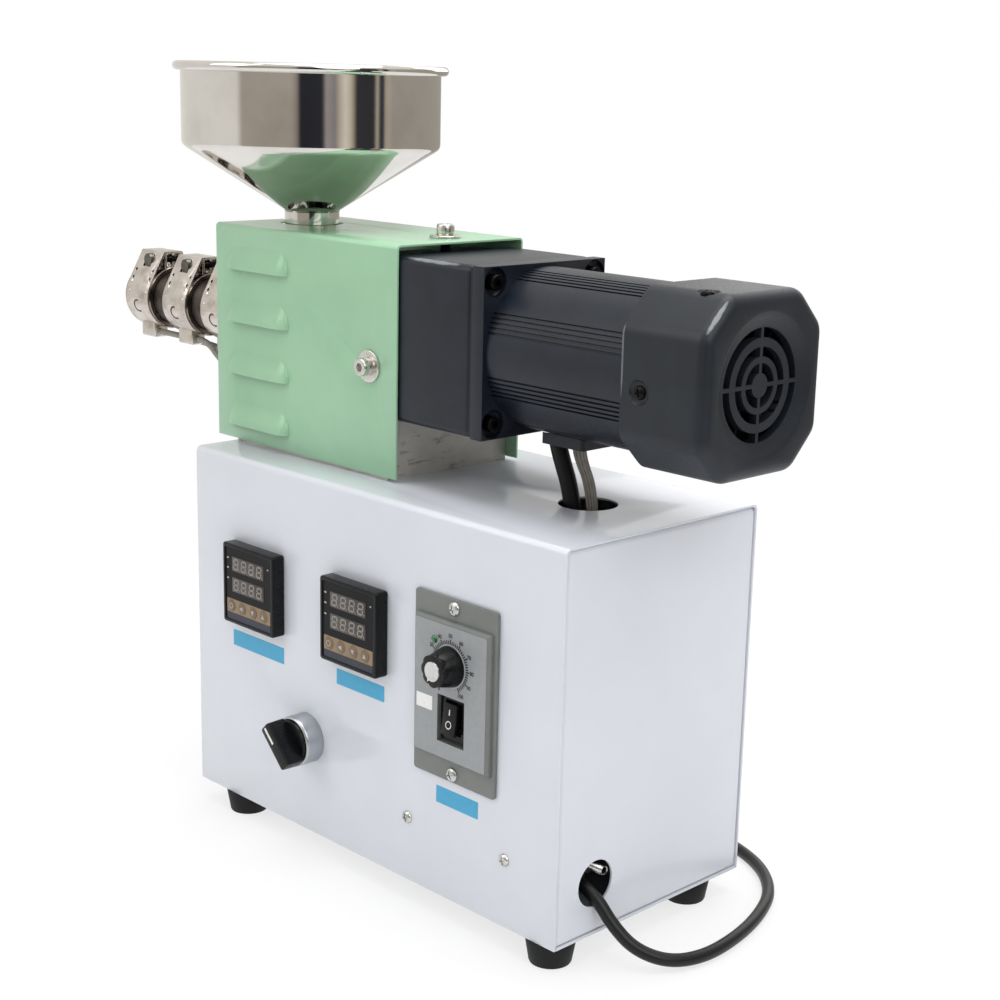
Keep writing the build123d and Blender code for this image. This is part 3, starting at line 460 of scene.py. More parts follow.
def patched(tree, place, size, under, over, low=0.4, high=0.66, stretch=(1, 1, 1)):
    """Patches of one colour over another, of a size in millimetres, drawn out along an axis if asked."""
    lay = add_node(tree, "ShaderNodeMapping", {}, {"Vector": place, "Scale": stretch})
    inputs = {"Vector": lay.outputs["Vector"], "Scale": 1 / (size * MM), "Detail": 4.0, "Roughness": 0.6}
    cloud = add_node(tree, "ShaderNodeTexNoise", {}, inputs)
    inputs = {"Value": cloud.outputs["Fac"], "From Min": low, "From Max": high}
    edge = add_node(tree, "ShaderNodeMapRange", {}, inputs)
    colours = [
        value if isinstance(value, bpy.types.NodeSocket) else shade_of(value) for value in (under, over)
    ]
    inputs = {0: edge.outputs["Result"], 6: colours[0], 7: colours[1]}
    return add_node(tree, "ShaderNodeMix", {"data_type": "RGBA"}, inputs).outputs[2]


def scuff_and_painted_highlight(tree, place, under, scuff_and_highlight_colour, centre, reach, lean=0.0):
    """A pale patch of a reach in millimetres about a place, broken up as a real scrape is; it draws real
    scrapes and also painted highlights along edges.
    """
    inputs = {
        "Vector": place,
        "Location": Vector(centre) * MM,
        "Rotation": (math.radians(lean), 0, 0),
        "Scale": Vector(reach) * MM,
    }
    lay = add_node(tree, "ShaderNodeMapping", {"vector_type": "TEXTURE"}, inputs)
    near = add_node(tree, "ShaderNodeTexGradient", {"gradient_type": "SPHERICAL"}, {0: lay.outputs["Vector"]})
    inputs = {"Vector": place, "Scale": 1 / (5 * MM), "Detail": 5.0, "Roughness": 0.7}
    grain = add_node(tree, "ShaderNodeTexNoise", {}, inputs)
    inputs = {0: near.outputs["Fac"], 1: grain.outputs["Fac"]}
    both = add_node(tree, "ShaderNodeMath", {"operation": "MULTIPLY"}, inputs)
    inputs = {"Value": both.outputs["Value"], "From Min": 0.12, "From Max": 0.26}
    edge = add_node(tree, "ShaderNodeMapRange", {}, inputs)
    # The pale colour stands for a scrape, a painted highlight, or a mark that is partly both
    inputs = {0: edge.outputs["Result"], 6: under, 7: shade_of(scuff_and_highlight_colour)}
    return add_node(tree, "ShaderNodeMix", {"data_type": "RGBA"}, inputs).outputs[2]


def grained(tree, shader, place, size, height, smooth, rough, stretch=(1, 1, 1)):
    """A grain of a size and height in millimetres, with the gloss wandering between two values."""
    lay = add_node(tree, "ShaderNodeMapping", {}, {"Vector": place, "Scale": stretch})
    inputs = {"Vector": lay.outputs["Vector"], "Scale": 1 / (size * MM), "Detail": 3.0}
    grain = add_node(tree, "ShaderNodeTexNoise", {}, inputs).outputs["Fac"]
    inputs = {"Value": grain, "From Min": 0.3, "From Max": 0.7, "To Min": smooth, "To Max": rough}
    gloss = add_node(tree, "ShaderNodeMapRange", {}, inputs)
    tree.links.new(gloss.outputs["Result"], shader.inputs["Roughness"])
    bump = add_node(tree, "ShaderNodeBump", {}, {"Height": grain, "Distance": height * MM, "Strength": 0.6})
    tree.links.new(bump.outputs["Normal"], shader.inputs["Normal"])


def powder_coat(name, colour, dusty, smooth):
    """Baked powder coat: orange peel and a soft gloss over steel, so big plain walls look sprayed."""
    material, tree, shader, place = surface(name, coat=0.4)
    tree.links.new(patched(tree, place, 90, colour, dusty), shader.inputs["Base Color"])
    grained(tree, shader, place, 1.6, 0.012, smooth, smooth + 0.08)
    return material


def stoving_paint(name, colour, cloudy):
    """Satin stoved paint on castings: dark, with a thin pale line along the gearbox's top front edge that is
    partly wear and partly a painted highlight.
    """
    material, tree, shader, place = surface(name)
    shader.inputs["Specular IOR Level"].default_value = 0.36
    base = patched(tree, place, 22, colour, cloudy)
    # Pale line on the gearbox's top front edge: partly worn paint, partly a painted highlight where the edge
    # catches the light
    edge = (gearbox_low.x + 34, gearbox_low.y + 2, gearbox_high.z - 1)
    base = scuff_and_painted_highlight(tree, place, base, "#7d8288", edge, (30, 2.4, 2.0))
    tree.links.new(base, shader.inputs["Base Color"])
    # The casting's own grain is finer than a pixel and is drawn 0.9 mm wide
    grained(tree, shader, place, 0.9, 0.02, 0.3, 0.42)
    return material


def fan_cover_plastic(name, colour, cloudy):
    """Spark-eroded dark plastic: dull grain, with a pale line on its upper front corner that is partly a
    scrape and partly a painted highlight, and a painted highlight along its seam edge.
    """
    material, tree, shader, place = surface(name)
    shader.inputs["Specular IOR Level"].default_value = 0.36
    base = patched(tree, place, 30, colour, cloudy)
    # Pale line along the upper front corner's edge: partly a scrape, partly a painted highlight
    corner = (motor_right - 3, motor_y - motor_half + 10, motor_z + motor_half - 10)
    base = scuff_and_painted_highlight(tree, place, base, "#8b8f92", corner, (1.7, 14, 2.0), 45)
    # Painted highlight: a thin pale line down the fan cover's front edge at the seam
    seam = (seam_x + 0.6, motor_y - motor_half, motor_z + 12)
    base = scuff_and_painted_highlight(tree, place, base, "#666b70", seam, (0.9, 3, 30))
    tree.links.new(base, shader.inputs["Base Color"])
    # The spark grain is finer than a pixel and is drawn 0.7 mm wide
    grained(tree, shader, place, 0.7, 0.03, 0.34, 0.5)
    return material


def moulded(name, colour, lighter, smooth, rough, coat=0.0, sheen=0.5):
    """Moulded plastic or rubber: one deep colour that lifts a little in patches, with a fine grain."""
    material, tree, shader, place = surface(name, coat=coat)
    shader.inputs["Specular IOR Level"].default_value = sheen
    tree.links.new(patched(tree, place, 25, colour, lighter), shader.inputs["Base Color"])
    # The mould's grain is finer than a pixel and is drawn 0.6 mm wide
    grained(tree, shader, place, 0.6, 0.012, smooth, rough)
    return material


def bare_metal(name, colour, stain, size, smooth, rough, drawn=(1, 1, 1)):
    """Bare metal: bright, stained in patches by heat and handling, its fine lines drawn one way."""
    material, tree, shader, place = surface(name, metallic=1.0)
    tree.links.new(patched(tree, place, size, colour, stain, 0.45, 0.75), shader.inputs["Base Color"])
    # The real lines are finer than a pixel and are drawn 0.8 mm wide
    grained(tree, shader, place, 0.8, 0.0012, smooth, rough, drawn)
    return material


def printed(name, colour, worn, gloss):
    """Printed ink or film: flat and even, a shade thinner here and there."""
    material, tree, shader, place = surface(name)
    tree.links.new(patched(tree, place, 4, colour, worn, 0.35, 0.75), shader.inputs["Base Color"])
    grained(tree, shader, place, 2.0, 0.004, gloss, gloss + 0.1)
    return material


def milled_aluminium(name):
    """Milled aluminium in the workshop: pale blocks with level cutter marks and dark oily smears."""
    material, tree, shader, place = surface(name, metallic=0.45)
    pale = patched(tree, place, 34, "#d0cec8", "#b3b1ab", 0.35, 0.7)
    smear = patched(tree, place, 6, pale, "#6f6962", 0.58, 0.74, (0.35, 0.35, 1.6))
    tree.links.new(smear, shader.inputs["Base Color"])
    grained(tree, shader, place, 1.4, 0.03, 0.38, 0.6, (0.2, 0.2, 3))
    return material


def braided_sleeve(name, yarn, gap):
    """Fibreglass braid: crossed pale yarns a millimetre wide with dark gaps, so the lead looks woven."""
    material, tree, shader, place = surface(name)
    yarns = []
    for slant in (45, -45):
        inputs = {"Vector": place, "Rotation": (0, math.radians(slant), 0)}
        lay = add_node(tree, "ShaderNodeMapping", {}, inputs)
        inputs = {"Vector": lay.outputs["Vector"], "Scale": 0.32 / MM}
        yarns.append(add_node(tree, "ShaderNodeTexWave", {}, inputs).outputs["Fac"])
    weave = add_node(tree, "ShaderNodeMath", {"operation": "MULTIPLY"}, {0: yarns[0], 1: yarns[1]})
    inputs = {0: weave.outputs["Value"], 6: shade_of(gap), 7: shade_of(yarn)}
    mix = add_node(tree, "ShaderNodeMix", {"data_type": "RGBA"}, inputs)
    tree.links.new(mix.outputs[2], shader.inputs["Base Color"])
    shader.inputs["Roughness"].default_value = 0.75
    bump = add_node(tree, "ShaderNodeBump", {}, {"Height": weave.outputs["Value"], "Distance": 0.25 * MM})
    tree.links.new(bump.outputs["Normal"], shader.inputs["Normal"])
    return material


finishes = {}


def make_finishes(scene):
    """Every finish with the record's material slot that it stands for."""
    cabinet, top, motor = scene.extruder_cabinet, scene.extruder_top, scene.extruder_motor
    silver = ("#dcd9d4", "#c9c5bf", 60)
    finishes.update(
        {
            # Sprayed and stoved paint: even walls with a soft gloss, so sheet and castings look coated
            "cabinet": (powder_coat("white_powder_coat", cabinet.colour, "#d4d7de", 0.3), "white_paint"),
            "cover": (powder_coat("green_powder_coat", top.cover_colour, "#93bf9c", 0.3), "green_paint"),
            "motor": (stoving_paint("dark_blue_grey_stoving_paint", motor.colour, "#1a202b"), "navy_paint"),
            # Moulded plastic: dull and dark, so the edges alone catch the light
            "fan_cover": (
                fan_cover_plastic("dark_grey_abs_fan_cover", motor.fan_cover_colour, "#21262d"), "fan_plastic"
            ),
            "fan": (moulded("black_nylon_fan", "#131416", "#1a1b1d", 0.4, 0.5), "fan_plastic"),
            "black": (moulded("black_abs", "#08090b", "#0d0e10", 0.24, 0.34, sheen=0.24), "control_plastic"),
            "film": (
                moulded("black_keypad_film", "#0a0b0f", "#0e0f13", 0.3, 0.4, sheen=0.17), "control_plastic"
            ),
            "window": (
                moulded("smoked_acrylic_window", "#45403c", "#4b4541", 0.2, 0.3, sheen=0.3), "control_plastic"
            ),
            # Inks, films and keys on the controllers: flat print with no light behind it
            "segment": (printed("unlit_display_segment", "#8c867f", "#7f7973", 0.4), "control_plastic"),
            "keypad": (printed("tan_printed_keypad", "#8f795e", "#857056", 0.4), "control_plastic"),
            "key": (moulded("brown_rubber_key", "#75624b", "#6b5943", 0.35, 0.45), "control_plastic"),
            "strip": (printed("blue_black_printed_strip", "#222b3a", "#1d2531", 0.35), "control_plastic"),
            "mark": (printed("grey_screen_ink", "#b5b3ae", "#a3a19c", 0.45), "control_plastic"),
            "white_mark": (printed("white_screen_ink", "#e6e6e2", "#d8d8d4", 0.45), "control_plastic"),
            # The speed panel: a grey plate with paler print, a clear lens and plain stickers
            "plate": (
                moulded("grey_polycarbonate", cabinet.plate_colour, "#6d706d", 0.34, 0.46), "plate_plastic"
            ),
            "face": (printed("pale_grey_overlay", "#979a9c", "#909395", 0.34), "plate_plastic"),
            "dial_ring": (printed("light_grey_ink", "#bfc3c4", "#b2b6b7", 0.45), "plate_plastic"),
            "ink": (printed("black_screen_ink", "#17181b", "#222327", 0.45), "plate_plastic"),
            "lamp": (moulded("green_indicator_lens", "#0b5c2d", "#0d6b35", 0.08, 0.14, 1.0), "plate_plastic"),
            "sticker": (printed("white_paper_sticker", "#eeeeec", "#e6e6e3", 0.55), "plate_plastic"),
            "label": (printed("cyan_vinyl_label", cabinet.label_colour, "#3d9fc6", 0.3), "plate_plastic"),
            # Bare metal from mirror bright to heat darkened, so hopper, bands and barrel tell apart
            "polished": (bare_metal("polished_stainless_steel", *silver, 0.05, 0.09), "polished_steel"),
            "band": (
                bare_metal("rolled_stainless_strap", "#d2cac3", "#9f948a", 14, 0.16, 0.3, (1, 6, 6)),
                "band_steel",
            ),
            "lip": (bare_metal("darkened_stainless_edge", "#8f867e", "#6d655e", 20, 0.12, 0.2), "band_steel"),
            "barrel": (
                bare_metal("nitrided_steel", "#635a55", "#413a37", 12, 0.34, 0.5, (0.3, 4, 4)), "barrel_steel"
            ),
            "zinc": (bare_metal("bright_zinc_plate", "#d3d4d2", "#a3a29b", 6, 0.18, 0.3), "zinc_steel"),
            "dull_zinc": (bare_metal("heat_dulled_zinc", "#6f6c66", "#45423e", 3, 0.25, 0.4), "zinc_steel"),
            "washer": (bare_metal("stainless_washer", "#d8d6d1", "#b2afa8", 8, 0.2, 0.32), "zinc_steel"),
            "chrome": (bare_metal("satin_chromed_ring", "#b9bcc1", "#b1b4b9", 30, 0.28, 0.34), "chrome_ring"),
            "silver_cap": (
                bare_metal("spun_aluminium_cap", "#d2d2d0", "#c2c2c0", 5, 0.24, 0.32), "chrome_ring"
            ),
            "oxide": (bare_metal("black_oxide_screw", "#1e1d1d", "#2c2926", 5, 0.35, 0.45), "black_rubber"),
            "aluminium": (milled_aluminium("milled_aluminium_block"), "rough_aluminium"),
            # Rubber, sheath and leads: soft, with hardly a highlight
            "rubber": (moulded("black_rubber", "#0b0c0d", "#111213", 0.5, 0.66, sheen=0.3), "black_rubber"),
            "sheath": (
                moulded("black_pvc_sheath", "#0c0d0f", "#121315", 0.32, 0.42, sheen=0.35), "black_rubber"
            ),
            "sleeve": (
                moulded("black_lead_sleeve", "#0a0b0c", "#101112", 0.35, 0.45, sheen=0.3), "sleeve_black"
            ),
            "wires": (printed("grey_pvc_wires", "#8f8a80", "#7b766d", 0.4), "braid_sleeve"),
            "braid": (braided_sleeve("fibreglass_braid", "#d0ccc2", "#8a857b"), "braid_sleeve"),
        }
    )


# Sizes and colours that a user would change


class ExtruderCabinet(bpy.types.PropertyGroup):
    """The sheet steel cabinet and its controls."""

    colour: bpy.props.FloatVectorProperty(
        name="Cabinet colour", description="Powder coat of the cabinet", subtype="COLOR", size=3,
        default=shade_of("#d8dbe2")[:3],
    )
    plate_colour: bpy.props.FloatVectorProperty(
        name="Panel colour", description="Plastic of the speed controller", subtype="COLOR", size=3,
        default=shade_of("#747774")[:3],
    )
    label_colour: bpy.props.FloatVectorProperty(
        name="Label colour", description="Blank labels under the controls", subtype="COLOR", size=3,
        default=shade_of("#3fa5cf")[:3],
    )
    bend: bpy.props.FloatProperty(
        name="Bend", description="Outer radius of the folded edges", unit="LENGTH", default=0.0035
    )
    sheet: bpy.props.FloatProperty(
        name="Sheet", description="Thickness of the steel", unit="LENGTH", default=0.0012
    )


class ExtruderTop(bpy.types.PropertyGroup):
    """The cover, the hopper and the heater bands."""

    cover_colour: bpy.props.FloatVectorProperty(
        name="Cover colour", description="Powder coat of the cover", subtype="COLOR", size=3,
        default=shade_of("#9cc8a4")[:3],
    )
    louvre_length: bpy.props.FloatProperty(
        name="Louvre length", description="Length of one pressed louvre", unit="LENGTH", default=0.057
    )
    louvre_height: bpy.props.FloatProperty(
        name="Louvre height", description="Height of one pressed louvre", unit="LENGTH", default=0.013
    )
    louvre_depth: bpy.props.FloatProperty(
        name="Louvre depth", description="How far a louvre stands out", unit="LENGTH", default=0.0046
    )
    rim_radius: bpy.props.FloatProperty(
        name="Hopper rim", description="Radius of the rolled rim", unit="LENGTH", default=0.0027
    )


class ExtruderMotor(bpy.types.PropertyGroup):
    """The gearbox, the motor and its fan."""

    colour: bpy.props.FloatVectorProperty(
        name="Motor colour", description="Stoving paint of gearbox and motor", subtype="COLOR", size=3,
        default=shade_of("#141923")[:3],
    )
    fan_cover_colour: bpy.props.FloatVectorProperty(
        name="Fan cover colour", description="Plastic of the fan cover", subtype="COLOR", size=3,
        default=shade_of("#1b2027")[:3],
    )
    groove_depth: bpy.props.FloatProperty(
        name="Groove depth", description="Depth of the motor's fine grooves", unit="LENGTH", default=0.0009
    )


# The stage and the camera


class EXTRUDER_OT_stage(bpy.types.Operator):
    """Pale floor, soft studio lamps and the camera at the photographed view"""

    bl_idname = "extruder.stage"
    bl_label = "Stage and camera"

    def execute(self, context):
        make_finishes(context.scene)
        self.camera(context)
        self.floor()
        lamps = (
            ("key_lamp", (-0.9, -1.9, 1.9), 1.6, 16),
            ("fill_lamp", (2.2, -0.6, 1.75), 1.6, 18),
            ("top_lamp", (0.1, 0.2, 2.2), 1.6, 34),
            ("back_lamp", (-0.6, 2.2, 1.3), 1.8, 12),
        )
        for name, place, size, watts in lamps:
            self.lamp(name, place, size, watts)
        self.room(context)
        context.scene.view_settings.view_transform = "Standard"
        return {"FINISHED"}

    def camera(self, context):
        """The photographed view, solved from the cabinet's corners."""
        azimuth, rise, roll = math.radians(44.593), math.radians(13.611), math.radians(1.561)
        place, sensor_width = Vector((0.7661, -0.6514, 0.4429)), 36
        focal_pixels, picture_pixels = 1762.46, 1000
        flat = math.cos(rise)
        back = Vector((math.sin(azimuth) * flat, -math.cos(azimuth) * flat, math.sin(rise)))
        level = (-back).cross(Vector((0, 0, 1))).normalized()
        upward = level.cross(-back)
        right = math.cos(roll) * level + math.sin(roll) * upward
        up = -math.sin(roll) * level + math.cos(roll) * upward
        fresh()
        bpy.ops.object.camera_add()
        camera = context.active_object
        camera.name = "photo_camera"
        turn = Matrix((right, up, back)).transposed().to_4x4()
        camera.matrix_world = Matrix.Translation(place) @ turn
        camera.data.sensor_width = sensor_width
        camera.data.lens = focal_pixels * sensor_width / picture_pixels
        camera.data.shift_x = -0.03076
        camera.data.shift_y = 0.00107
        camera.data.clip_start = 0.01
        camera.data.clip_end = 50
        context.scene.camera = camera

    def floor(self):
        """White paper that keeps the shadow near the machine and fades to plain white around it."""
        fresh()
        paper_radius, fade_from, fade_to = 1.15, 0.35, 0.9
        bpy.ops.mesh.primitive_circle_add(
            vertices=96, radius=paper_radius, fill_type="NGON", location=(0, 0, 0)
        )
        floor = bpy.context.active_object
        floor.name = "studio_floor"
        material, tree, shader, place = surface("matt_studio_paper")
        shader.inputs["Base Color"].default_value = shade_of("#f4f4f4")
        shader.inputs["Roughness"].default_value = 0.9
        shader.inputs["Specular IOR Level"].default_value = 0.1
        path = add_node(tree, "ShaderNodeLightPath").outputs
        largest = {"operation": "MAXIMUM"}
        seen = add_node(tree, "ShaderNodeMath", largest, {0: path["Is Camera Ray"], 1: path["Is Glossy Ray"]})
        inputs = {0: seen.outputs["Value"], 1: path["Is Transmission Ray"]}
        seen = add_node(tree, "ShaderNodeMath", largest, inputs)
        away = add_node(tree, "ShaderNodeVectorMath", {"operation": "LENGTH"}, {0: place})
        inputs = {"Value": away.outputs["Value"], "From Min": fade_from, "From Max": fade_to}
        inputs.update({"To Min": 0.72, "To Max": 1.0})
        fade = add_node(tree, "ShaderNodeMapRange", {}, inputs)
        inputs = {0: seen.outputs["Value"], 1: fade.outputs["Result"]}
        share = add_node(tree, "ShaderNodeMath", {"operation": "MULTIPLY"}, inputs)
        glow = add_node(tree, "ShaderNodeEmission", {}, {"Color": (1, 1, 1, 1), "Strength": 1.0})
        inputs = {0: share.outputs["Value"], 1: shader.outputs["BSDF"], 2: glow.outputs["Emission"]}
        mix = add_node(tree, "ShaderNodeMixShader", {}, inputs)
        tree.links.new(mix.outputs["Shader"], tree.nodes["Material Output"].inputs["Surface"])
        floor.data.materials.append(material)

    def lamp(self, name, place, size, watts):
        """A large soft lamp aimed at the machine's middle."""
        aim = Vector((cabinet_x * MM, motor_y * MM, 0.2))
        fresh()
        bpy.ops.object.light_add(type="AREA", location=place)
        lamp = bpy.context.active_object
        lamp.name = name
        lamp.rotation_euler = (aim - Vector(place)).to_track_quat("-Z", "Y").to_euler()
        lamp.data.size = size
        lamp.data.energy = watts

    def room(self, context):
        """A white backdrop for the camera, and a bright workshop for what the metal mirrors."""
        world = bpy.data.worlds.new("workshop_room")
        world.use_nodes = True
        context.scene.world = world
        tree = world.node_tree
        path = add_node(tree, "ShaderNodeLightPath").outputs
        direction = add_node(tree, "ShaderNodeTexCoord").outputs["Generated"]
        parts = add_node(tree, "ShaderNodeSeparateXYZ", {}, {"Vector": direction}).outputs
        turn = add_node(tree, "ShaderNodeMath", {"operation": "ARCTAN2"}, {0: parts["X"], 1: parts["Y"]})
        inputs = {"Value": turn.outputs["Value"], "From Min": -math.pi, "From Max": math.pi}
        share = add_node(tree, "ShaderNodeMapRange", {}, inputs)
        walls = add_node(tree, "ShaderNodeValToRGB", {}, {"Fac": share.outputs["Result"]})
        stops = (
            (0.03, "#b1aaa0"), (0.045, "#ebe9e4"), (0.36, "#ebe9e4"), (0.40, "#a9a39b"),
            (0.65, "#a9a39b"), (0.657, "#b9b0a2"), (0.670, "#b3a797"), (0.675, "#3a3d46"),
            (0.686, "#3a3d46"), (0.69, "#b9ad9c"), (0.695, "#a89f92"), (0.701, "#34343a"),
            (0.748, "#38373a"), (0.753, "#8f8577"), (0.762, "#c9bfae"), (0.775, "#e2dccf"),
            (0.79, "#c0b6a8"), (0.80, "#8d878a"), (0.822, "#a39d9c"), (0.830, "#2f3036"),
            (0.884, "#2c2e34"), (0.892, "#97908a"), (0.905, "#b1aaa0"),
        )
        while len(walls.color_ramp.elements) < len(stops):
            walls.color_ramp.elements.new(0.5)
        for element, (position, colour) in zip(walls.color_ramp.elements, stops):
            element.position = position
            element.color = shade_of(colour)
        inputs = {"Value": parts["Z"], "From Min": 0.3, "From Max": 0.6}
        height = add_node(tree, "ShaderNodeMapRange", {}, inputs)
        colour_mix = {"data_type": "RGBA"}
        inputs = {0: height.outputs["Result"], 6: walls.outputs["Color"], 7: shade_of("#f1f0ec")}
        room = add_node(tree, "ShaderNodeMix", colour_mix, inputs)
        inputs = {0: path["Is Glossy Ray"], 6: shade_of("#bdbdbd"), 7: room.outputs[2]}
        lit = add_node(tree, "ShaderNodeMix", colour_mix, inputs)
        inputs = {0: path["Is Camera Ray"], 6: lit.outputs[2], 7: (1, 1, 1, 1)}
        shown = add_node(tree, "ShaderNodeMix", colour_mix, inputs)
        tree.links.new(shown.outputs[2], tree.nodes["Background"].inputs["Color"])


# The mains cord, its coil behind the machine and the plug


class EXTRUDER_OT_cord(bpy.types.Operator):
    """Black mains cord out of the cord hole, coiled behind the cabinet, with its plug and ties"""

    bl_idname = "extruder.cord"
    bl_label = "Mains cord and plug"

    def execute(self, context):
        route = [
            (right_x - 30, cord_hole_y - 2.6, 43.5),
            (right_x - 14, cord_hole_y - 1.8, 41.2),
            (right_x + 0.5, cord_hole_y, 35.2),
            (right_x + 11, cord_hole_y + 1.8, 22.3),
            (right_x + 23, cord_hole_y + 6.4, 11.4),
            (right_x + 36, cord_hole_y + 18.4, 5.3),
            (right_x + 42.5, cord_hole_y + 39.4, 3.7),
            (right_x + 40.5, cord_hole_y + 67.4, 3.6),
            (right_x + 33.5, back_y - 22.5, 3.6),
            (right_x + 20.5, back_y + 5.5, 3.6),
            (right_x - 2.5, back_y + 27.5, 3.6),
            (right_x - 32.5, back_y + 39.5, 3.6),
            (right_x - 66.5, back_y + 43.5, 3.6),
            (right_x - 104.5, back_y + 44, 3.6),
            (right_x - 142.5, back_y + 43.6, 3.6),
            (right_x - 172.5, back_y + 43, 3.6),
        ]
        coil_x, coil_y = right_x - 196.5, back_y + 88.5
        per_turn, pitch, all_turns = 16, 7.06, 5.5
        lower_height, upper_height = 3.6, 10.7
        outer_reach, inner_reach = 45.6, 27.95
        climb_from, climb_to = 2.5, 3
        for index in range(int(all_turns * per_turn) + 1):
            turns = index / per_turn
            height, reach = lower_height, outer_reach - pitch * turns
            if turns > climb_to:
                height, reach = upper_height, inner_reach + pitch * (turns - climb_to)
            elif turns > climb_from:
                share = min(1, (turns - climb_from) / 0.3)
                height = lower_height + (upper_height - lower_height) * share
                reach = inner_reach - 2.6 * math.sin(2 * math.pi * (turns - climb_from))
            angle = -math.pi / 2 - 2 * math.pi * turns
            route.append((coil_x + reach * math.cos(angle), coil_y + reach * math.sin(angle), height))
        plug_low, plug_high = span("power_plug")
        plug_y, plug_z = middle("power_plug").yz
        route.append((plug_low.x - 8, plug_y, plug_z + 0.8))
        route.append((plug_low.x + 3, plug_y, plug_z))

        cord = lead_line("mains_cord", route, 3.5, 6)
        dress(cord, "sheath", ["power_cord", "power_cord_coil"])
        self.length_of(cord)
        self.plug(plug_low, plug_high, plug_y, plug_z)
        self.ties(coil_x, coil_y)
        self.boot(route)
        return {"FINISHED"}

    def length_of(self, cord):
        """Length along the cord's centre line, in metres."""
        bare = cord.data.copy()
        bare.bevel_depth = 0
        ghost = bpy.data.objects.new("cord_line", bare)
        mesh = bpy.data.meshes.new_from_object(ghost)
        places = [vertex.co.copy() for vertex in mesh.vertices]
        bpy.data.objects.remove(ghost)
        return sum((after - before).length for before, after in zip(places, places[1:]))

    def plug(self, low, high, y, z):
        """A two-pin plug with a waisted grip and a ribbed boot."""
        start, face = low.x + 14, high.x - 17
        steps_along, half_width, draw_in = 4, 12, 0.16
        outline = []
        for side in (-1, 1):
            for step in range(steps_along + 1):
                share = step / steps_along if side < 0 else 1 - step / steps_along
                waist = half_width * (1 - draw_in * math.sin(math.pi * share) ** 2)
                outline.append((start + (face - start) * share, side * waist))
        flat = Matrix.Translation(Vector((0, y, low.z)) * MM)
        body = soften(plate("plug_body", outline, high.z - low.z, flat), 3.2, 4)
        ribs = [
            (0, 0), (4.4, 0), (4.9, 1.5), (4.5, 3), (5.1, 4.5), (4.7, 6), (5.4, 7.5), (5.0, 9), (5.8, 10.5)
        ]
        ribs += [(5.4, 12), (6.2, 14), (6.2, 16), (0, 16)]
        boot = turned("plug_boot", ribs, (low.x, y, z), (1, 0, 0), 32)
        plug = dress(joined("mains_plug", [body, boot]), "sheath", ["power_plug"], smooth=40)
        pins = []
        for side in (-1, 1):
            centre = y + side * 6.35
            pin = block(
                "plug_pin", (face - 1, centre - 0.75, z - 3.2), (high.x, centre + 0.75, z + 3.2), 0.6, 2
            )
            pins.append(cut(pin, drill((high.x - 4, centre, z), (0, 1, 0), 1.6)))
        pins = dress(joined("plug_pins", pins), "zinc")
        pins.parent = plug
        return plug

    def ties(self, x, y):
        """Two flat bands that hold the coil together."""
        reach, height = 36.8, 8.4
        bands = []
        for angle in (35, 215):
            turn = math.radians(angle)
            way = Vector((math.cos(turn), math.sin(turn), 0))
            matrix = looking(way, (0, 0, 1), (x + reach * way.x, y + reach * way.y, height))
            band = plate("coil_tie", rounded_outline(27.6, 16.6, 6), 5, matrix)
            deeper = matrix @ Matrix.Translation((0, 0, -2 * MM))
            bands.append(cut(band, plate("hollow", rounded_outline(25.4, 14.4, 5), 9, deeper)))
        return dress(joined("coil_ties", bands), "rubber", smooth=40)

    def boot(self, route):
        """Tapered strain relief where the cord leaves the cabinet."""
        start = Vector(route[0])
        along = (Vector(route[1]) - start).normalized()
        profile = [
            (3.5, -2), (7.6, -2), (7.6, 2), (6.6, 3), (6.3, 7), (5.2, 14), (4.5, 20), (4.1, 22), (3.5, 22)
        ]
        boot = turned("cord_boot", profile, start - along * 2, along, 32, closed=True)
        return dress(boot, "rubber", smooth=40)


# The cabinet


